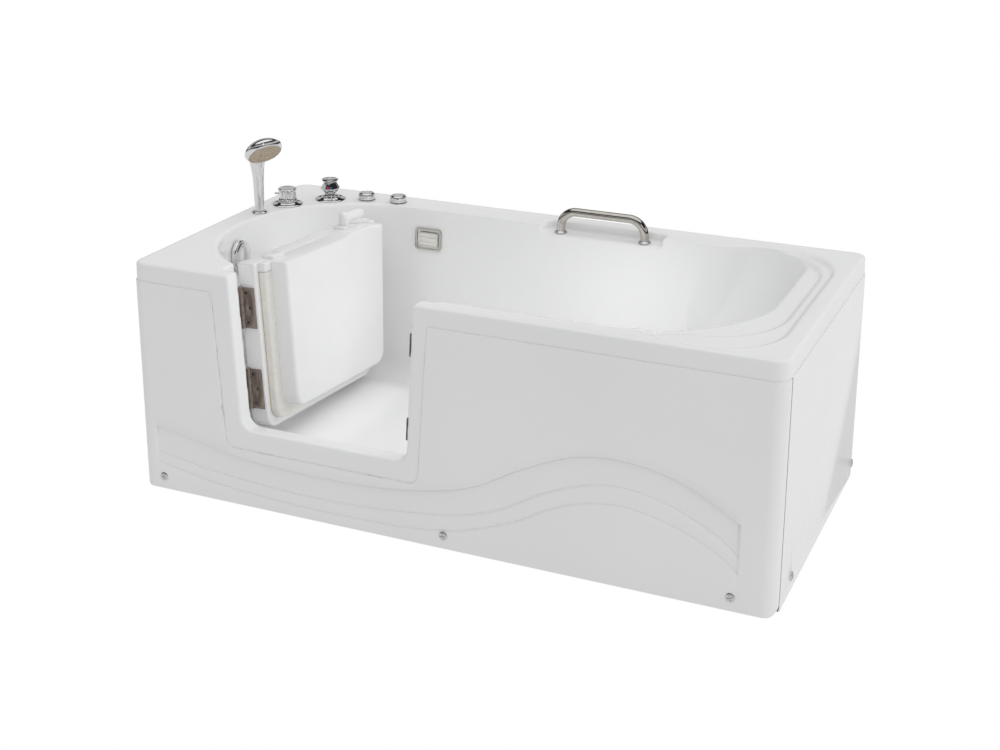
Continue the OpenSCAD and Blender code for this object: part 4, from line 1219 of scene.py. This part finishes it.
def make_drain_knob(name, body, base_node, knob_node):
    spot = deck_spot(base_node)
    base = turned(name + "_ring", spot, [
        (4.1, 0), (22.5, 0), (22.5, 1.6), (21.8, 2.6), (20, 3), (4.1, 3), (4.1, 0)], steps=64)
    stem = turned(name + "_stem", spot, [(4.1, 0), (4.1, -34), (7.5, -34), (7.5, 0), (4.1, 0)], steps=32)
    dress(join(name + "_ring", base, stem), "tub", "chrome", base_node)
    knob = turned(name, spot, [
        (0, 3.4), (20.4, 3.4), (21, 4.2), (21, 7.2), (20.3, 7.8), (20.3, 8.8), (21, 9.4), (21, 14),
        (20.4, 16.4), (18.6, 18.6), (15.8, 19.7), (14.6, 19.7), (14, 19.2), (0, 18.9)], steps=72)
    rod = turned(name + "_rod", spot, [(0, -38), (4, -38), (4, 4), (0, 4)], steps=24)
    dress(join(name, knob, rod), body, "chrome", knob_node)


HEAD_TILT = math.radians(48)
HEAD_TURN = math.radians(-32)
# grip: height and radius in mm; neck: height, how far it lies back, and radius
GRIP_PROFILE = [(-48, 11), (-46, 11), (3.8, 11), (5, 11.1), (16, 11.4), (25, 11.9), (34, 12.3),
                (48, 12.7), (61, 13), (76, 13.5), (90, 14.6)]
NECK_PROFILE = [(104, 0.6, 16), (116, 1.6, 17.8), (128, 3.2, 20), (138, 5.4, 22), (147, 8, 22.6),
                (156, 8, 20), (166, 0, 16)]
NECK_START = 40 * MM
NECK_LENGTH = 95 * MM
NECK_FLATTER = 0.5
SPRAY_RINGS = ((9, 8), (18.5, 14), (27.5, 22))


def make_hand_shower():
    spot = deck_spot("shower_holder")
    holder = turned("shower_socket", spot, [
        (11.1, -50), (14, -50), (14, 0), (18.7, 0), (18.7, 1.2), (17.4, 2.6), (14.5, 3.4), (12.6, 3.6),
        (11.1, 3.6), (11.1, -50)], steps=64)
    dress(holder, "tub", "chrome", "shower_holder")
    out = Vector((math.cos(HEAD_TURN), math.sin(HEAD_TURN), 0))
    facing = out * math.sin(math.pi / 2 + HEAD_TILT) + UP * math.cos(math.pi / 2 + HEAD_TILT)
    centre = spot + out * 30 * MM + UP * 172 * MM
    stations = [(spot + UP * height * MM, UP, radius) for height, radius in GRIP_PROFILE]
    for height, back, radius in NECK_PROFILE:
        lean = UP.lerp(facing, max(0, height - 135) * 0.015).normalized()
        stations.append((spot + UP * height * MM - out * back * MM, lean, radius))
    handle = drawn("shower_grip", stations, 48)
    # the neck is flatter than it is wide, so it passes behind the spray face
    for vertex in handle.data.vertices:
        rise = vertex.co.z - spot.z - NECK_START
        if rise > 0:
            share = min(1.0, rise / NECK_LENGTH) * NECK_FLATTER
            vertex.co -= out * (vertex.co - spot).dot(out) * share
    dress(handle, "handset", "chrome", "shower_handle", angle=60)
    head = turned("shower_rose", centre, [
        (0, -17), (8, -16.7), (16, -15.5), (24, -13.2), (31, -10.2), (37, -6.6), (42, -2.4), (45.6, 1.6),
        (47.4, 4.6), (48, 7), (47.7, 9.6), (46.6, 12.6), (44.8, 16), (43.4, 18.2), (42.2, 19),
        (41.4, 18.6), (41, 17.4), (41, 15), (0, 15)], facing, 96)
    dress(head, "handset", "chrome", "shower_head")
    face = turned("shower_plate", centre, [
        (0, 14.4), (40.8, 14.4), (40.8, 17.6), (39.6, 18.6), (36, 18.6), (35.2, 17.8), (34.4, 18.6),
        (15, 19), (14, 18.3), (13, 19), (0, 19.3)], facing, 96)
    nozzles = [face]
    side = facing.orthogonal().normalized()
    outline = [(0, 18), (1.3, 18), (1.0, 20), (0, 20.1)]
    for ring, count in SPRAY_RINGS:
        for index in range(count):
            arm = Matrix.Rotation(math.tau * index / count, 3, facing) @ side
            nozzles.append(turned("nozzle", centre + arm * ring * MM, outline, facing, 10))
    dress(join("shower_plate", *nozzles), "handset", "spray_plastic", "shower_face")


def arc_stations(start, ahead, towards, radius, angle, steps, width):
    """Stations round a bend that starts at a place and turns towards a side."""
    made = []
    for step in range(1, steps + 1):
        turn = angle * step / steps
        place = start + ahead * radius * math.sin(turn) + towards * radius * (1 - math.cos(turn))
        made.append((place, ahead * math.cos(turn) + towards * math.sin(turn), width))
    return made


BAR_RADIUS = 10.6
BAR_BEND = 40 * MM
BAR_RISE = 54 * MM


def make_grab_bar():
    low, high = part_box("grab_bar")
    leg = (high.y - low.y) / 2
    radius, bend = BAR_RADIUS, BAR_BEND
    y = (low.y + high.y) / 2
    top = low.z + BAR_RISE
    left, right = low.x + leg, high.x - leg
    across = Vector((1, 0, 0))
    stations = [(Vector((left, y, low.z)), UP, radius), (Vector((left, y, top - bend)), UP, radius)]
    stations += arc_stations(Vector((left, y, top - bend)), UP, across, bend, math.pi / 2, 12, radius)
    stations += [(Vector((right - bend, y, top)), across, radius)]
    stations += arc_stations(Vector((right - bend, y, top)), across, -UP, bend, math.pi / 2, 12, radius)
    stations += [(Vector((right, y, low.z)), -UP, radius)]
    dress(drawn("grab_rail", stations, 40), "tub", "chrome", "grab_bar", finish=NICKEL, angle=60)
    shelf = low.z - 2 * MM
    collars = []
    for x in (left, right):
        place = Vector((x, y, shelf))
        collar = turned("collar", place, [
            (10.8, 0), (16, 0), (16, 1.4), (15, 2), (15.8, 2.8), (14.8, 3.8), (15.2, 4.6), (13.2, 6.6),
            (10.8, 6.6), (10.8, 0)], steps=96)
        flute(collar, place, 24, 0.05, 1 * MM, 5 * MM)
        stud = turned("collar_stud", place, [(0, -16), (4, -16), (4, 2), (0, 2)], steps=24)
        nut = turned("collar_nut", place, [(4, -12), (8, -12), (8, -6), (4, -6), (4, -12)], steps=6)
        collars += [collar, stud, nut]
    dress(join("grab_collars", *collars), "tub", "chrome", "grab_bar_collars")


# ---------- spout, overflow and drains ----------

BASIN_FLOOR = 0.108
BASIN_REACH = 0.308
WALL_SLOPE = math.atan2(0.035, DECK - BASIN_FLOOR)
BASIN_MIDDLE = Vector((-HALF + 0.367, DOOR_SIDE + 0.056 + BASIN_REACH, 0))
SPOUT_DROP = 0.078
SPOUT_BARS = (-12, 0, 11.5)
OVERFLOW_DROP = 0.076
OVERFLOW_TURN = math.radians(184)
DRAIN_DROP = 0.448


def make_spout():
    """Built standing square at the origin, then set against the sloping rear wall."""

    def window_form(name, half_x, half_z, y, corner, segments):
        corners = [(-half_x, y, -half_z), (half_x, y, -half_z), (half_x, y, half_z), (-half_x, y, half_z)]
        return flat_form(name, corners, [corner] * 4, segments)

    plate = pull(window_form("spout_plate", 0.036, 0.028, 0, 8 * MM, 6), (0, -6 * MM, 0))
    carve(plate, pull(window_form("spout_window", 0.031, 0.023, -0.01, 5 * MM, 4), (0, 0.03, 0)))
    soften(plate, 1.2 * MM, 4, 40)
    bars = [block("spout_bar", (-0.0275, -0.002, (height - 4) * MM), (0.0245, 0.006, (height + 3) * MM),
                  1.6 * MM, 3) for height in SPOUT_BARS]
    back = block("spout_back", (-0.0285, 0.001, -0.0205), (0.0245, 0.012, 0.0165), 1 * MM)
    # painted shade: the dark block behind the slats shows as dark bands at their top and right, standing
    # in for the shadow in the louvre's recess
    well = block("spout_well", (-0.0315, 0.011, -0.0235), (0.0315, 0.020, 0.0235), 1 * MM)
    lean = Matrix.Rotation(-WALL_SLOPE, 3, "X")
    low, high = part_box("waterfall_spout")
    face = BASIN_MIDDLE.y + BASIN_REACH - SPOUT_DROP * math.tan(WALL_SLOPE)
    place = Vector(((low.x + high.x) / 2, face, DECK - SPOUT_DROP))
    slats = join("spout_slats", back, *bars)
    for piece, replaced, finish in ((plate, ["waterfall_spout"], NICKEL), (slats, ["spout_louvre"], PEARL),
                                    (well, [], DARK_PLATE_AND_SHADE)):
        piece.matrix_world = Matrix.Translation(place) @ lean.to_4x4()
        settle(piece)
        dress(piece, "tub", "chrome", *replaced, finish=finish)


def make_overflow():
    outward = Vector((math.cos(OVERFLOW_TURN), math.sin(OVERFLOW_TURN), 0))
    facing = (-outward * math.cos(WALL_SLOPE) + UP * math.sin(WALL_SLOPE)).normalized()
    reach = BASIN_REACH - OVERFLOW_DROP * math.tan(WALL_SLOPE)
    wall = BASIN_MIDDLE + outward * reach + UP * (DECK - OVERFLOW_DROP)
    cap = turned("overflow_disc", wall, [
        (0, 3), (17, 3), (17, 5), (35, 5), (38, 2.6), (39, 3.6), (39, 11), (38.4, 13), (36.8, 14.6),
        (34.6, 15.4), (33.4, 15.4), (32.4, 16.4), (26, 19.2), (18, 21), (9, 22), (0, 22.3)], facing, 96)
    dress(cap, "tub", "chrome", "overflow_cap")


def make_drains():
    for letter in ("a", "b"):
        low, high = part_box("drain_plug_" + letter)
        place = Vector(((low.x + high.x) / 2, (low.y + high.y) / 2, DECK - DRAIN_DROP))
        flange = copy_node("drain_seat_" + letter, "drain_flange_" + letter)
        soften(flange, 0.4 * MM, 2, 25)
        dress(flange, "tub", "chrome", "drain_flange_" + letter)
        plug = turned("drain_stopper_" + letter, place, [
            (0, -28), (3, -28), (3, 2.9), (24, 2.9), (25, 3.9), (24.6, 5.2), (22, 6.2), (16, 7.3), (9, 8),
            (7.6, 7.6), (6, 8.1), (0, 8.3)], steps=64)
        dress(plug, "plug_" + letter, "chrome", "drain_plug_" + letter)


# ---------- lever, hinges and keepers ----------

LEVER_SPOT = Vector((SHAFT_X, DOOR_SIDE + 0.056, DOOR_TOP + BOSS_RISE))
# reach, height and radius of the lever's arm, in mm
ARM_PROFILE = [(-9, 21, 6), (-4, 21.5, 10), (4, 22, 12), (20, 22.4, 13), (38, 22.4, 13.4), (54, 22, 13.6),
               (68, 21.4, 13.2), (78, 20.8, 11.6), (84, 20.4, 9), (88, 20, 4)]


def make_lever():
    spot = LEVER_SPOT

    def step(name, reach, half, low, high, corner):
        sides = ((-reach, -half), (reach, -half), (reach, half), (-reach, half))
        corners = [spot + Vector((x, y, low)) * MM for x, y in sides]
        form = pull(flat_form(name, corners, [corner * MM] * 4, 6), (0, 0, (high - low) * MM))
        soften(form, 0.9 * MM, 3, 40)
        return form

    plate = step("lever_plate", 29, 18, 0, 2.2, 7)
    upper = step("lever_plate_upper", 24, 15, 1.2, 4.2, 6)
    collar = turned("lever_collar", spot, [(0, 3), (17, 3), (17, 5), (16, 6), (0, 6)], steps=48)
    base = swing(join("lever_foot", plate, upper, collar))
    dress(base, "door", "door_white", "lever_base")
    post = turned("lever_post", spot, [
        (0, 6.4), (12.6, 6.4), (13, 7.4), (12.8, 14), (12.6, 22), (12.8, 28), (11.6, 33), (8, 36.6),
        (0, 38)], steps=84)
    flute(post, spot, 14, 0.14, 8 * MM, 27 * MM)
    stations = []
    for reach, rise, width in ARM_PROFILE:
        along = Vector((1, 0, (8 - reach / 9) * 0.012)).normalized()
        stations.append((spot + Vector((reach, 0, rise)) * MM, along, width))
    arm = drawn("lever_arm", stations, 32)
    handle = swing(join("lever_handle", post, arm))
    dress(handle, "latch", "door_white", "door_lever", angle=50)


LEAF_REACH = 29 * MM
LEAF_LONGER = 5 * MM


def make_hinges():
    for node, body in (("hinge_jamb_upper", "tub"), ("hinge_jamb_lower", "tub"),
                       ("hinge_leaf_upper", "door"), ("hinge_leaf_lower", "door")):
        leaf = copy_node(node + "_plate", node)
        if body == "door":
            outward = Matrix.Rotation(DOOR_OPEN, 3, AXIS_LINE) @ Vector((0, -1, 0))
            pick(leaf, "VERT", lambda co: (co - AXIS_PLACE).dot(outward) > LEAF_REACH)
            bpy.ops.transform.translate(value=outward * LEAF_LONGER)
            leave()
        soften(leaf, 0.5 * MM, 2, 50)
        dress(leaf, body, "stainless", node, finish=BRONZE)


def make_hinge_screws():
    for node, body in (("hinge_screws_door", "door"), ("hinge_screws_jamb", "tub")):
        heads = copy_node(node + "_heads", node)
        soften(heads, 0.2 * MM, 1, 50)
        dress(heads, body, "stainless", node, finish=DARK_PLATE_AND_SHADE)


def make_keepers():
    for node in ("strike_upper", "strike_lower"):
        keeper = copy_node(node + "_plate", node)
        soften(keeper, 0.6 * MM, 2, 50)
        dress(keeper, "tub", "stainless", node, finish=DARK_PLATE_AND_SHADE)


add_camera()
add_floor()
add_light()
finish_frame_nodes()
make_tub()
make_skirt()
make_door()
make_gasket()
make_end_panel("end_cover_right", "end_panel_right")
make_end_panel("end_cover_left", "end_panel_left")
make_panel_screws()
make_deck_flange("diverter_rose", "diverter_flange")
make_deck_flange("mixer_rose", "mixer_flange")
make_diverter()
make_mixer()
make_drain_knob("drain_control_a", "knob_a", "drain_knob_base_a", "drain_knob_a")
make_drain_knob("drain_control_b", "knob_b", "drain_knob_base_b", "drain_knob_b")
make_hand_shower()
make_grab_bar()
make_spout()
make_overflow()
make_drains()
make_lever()
make_hinges()
make_hinge_screws()
make_keepers()
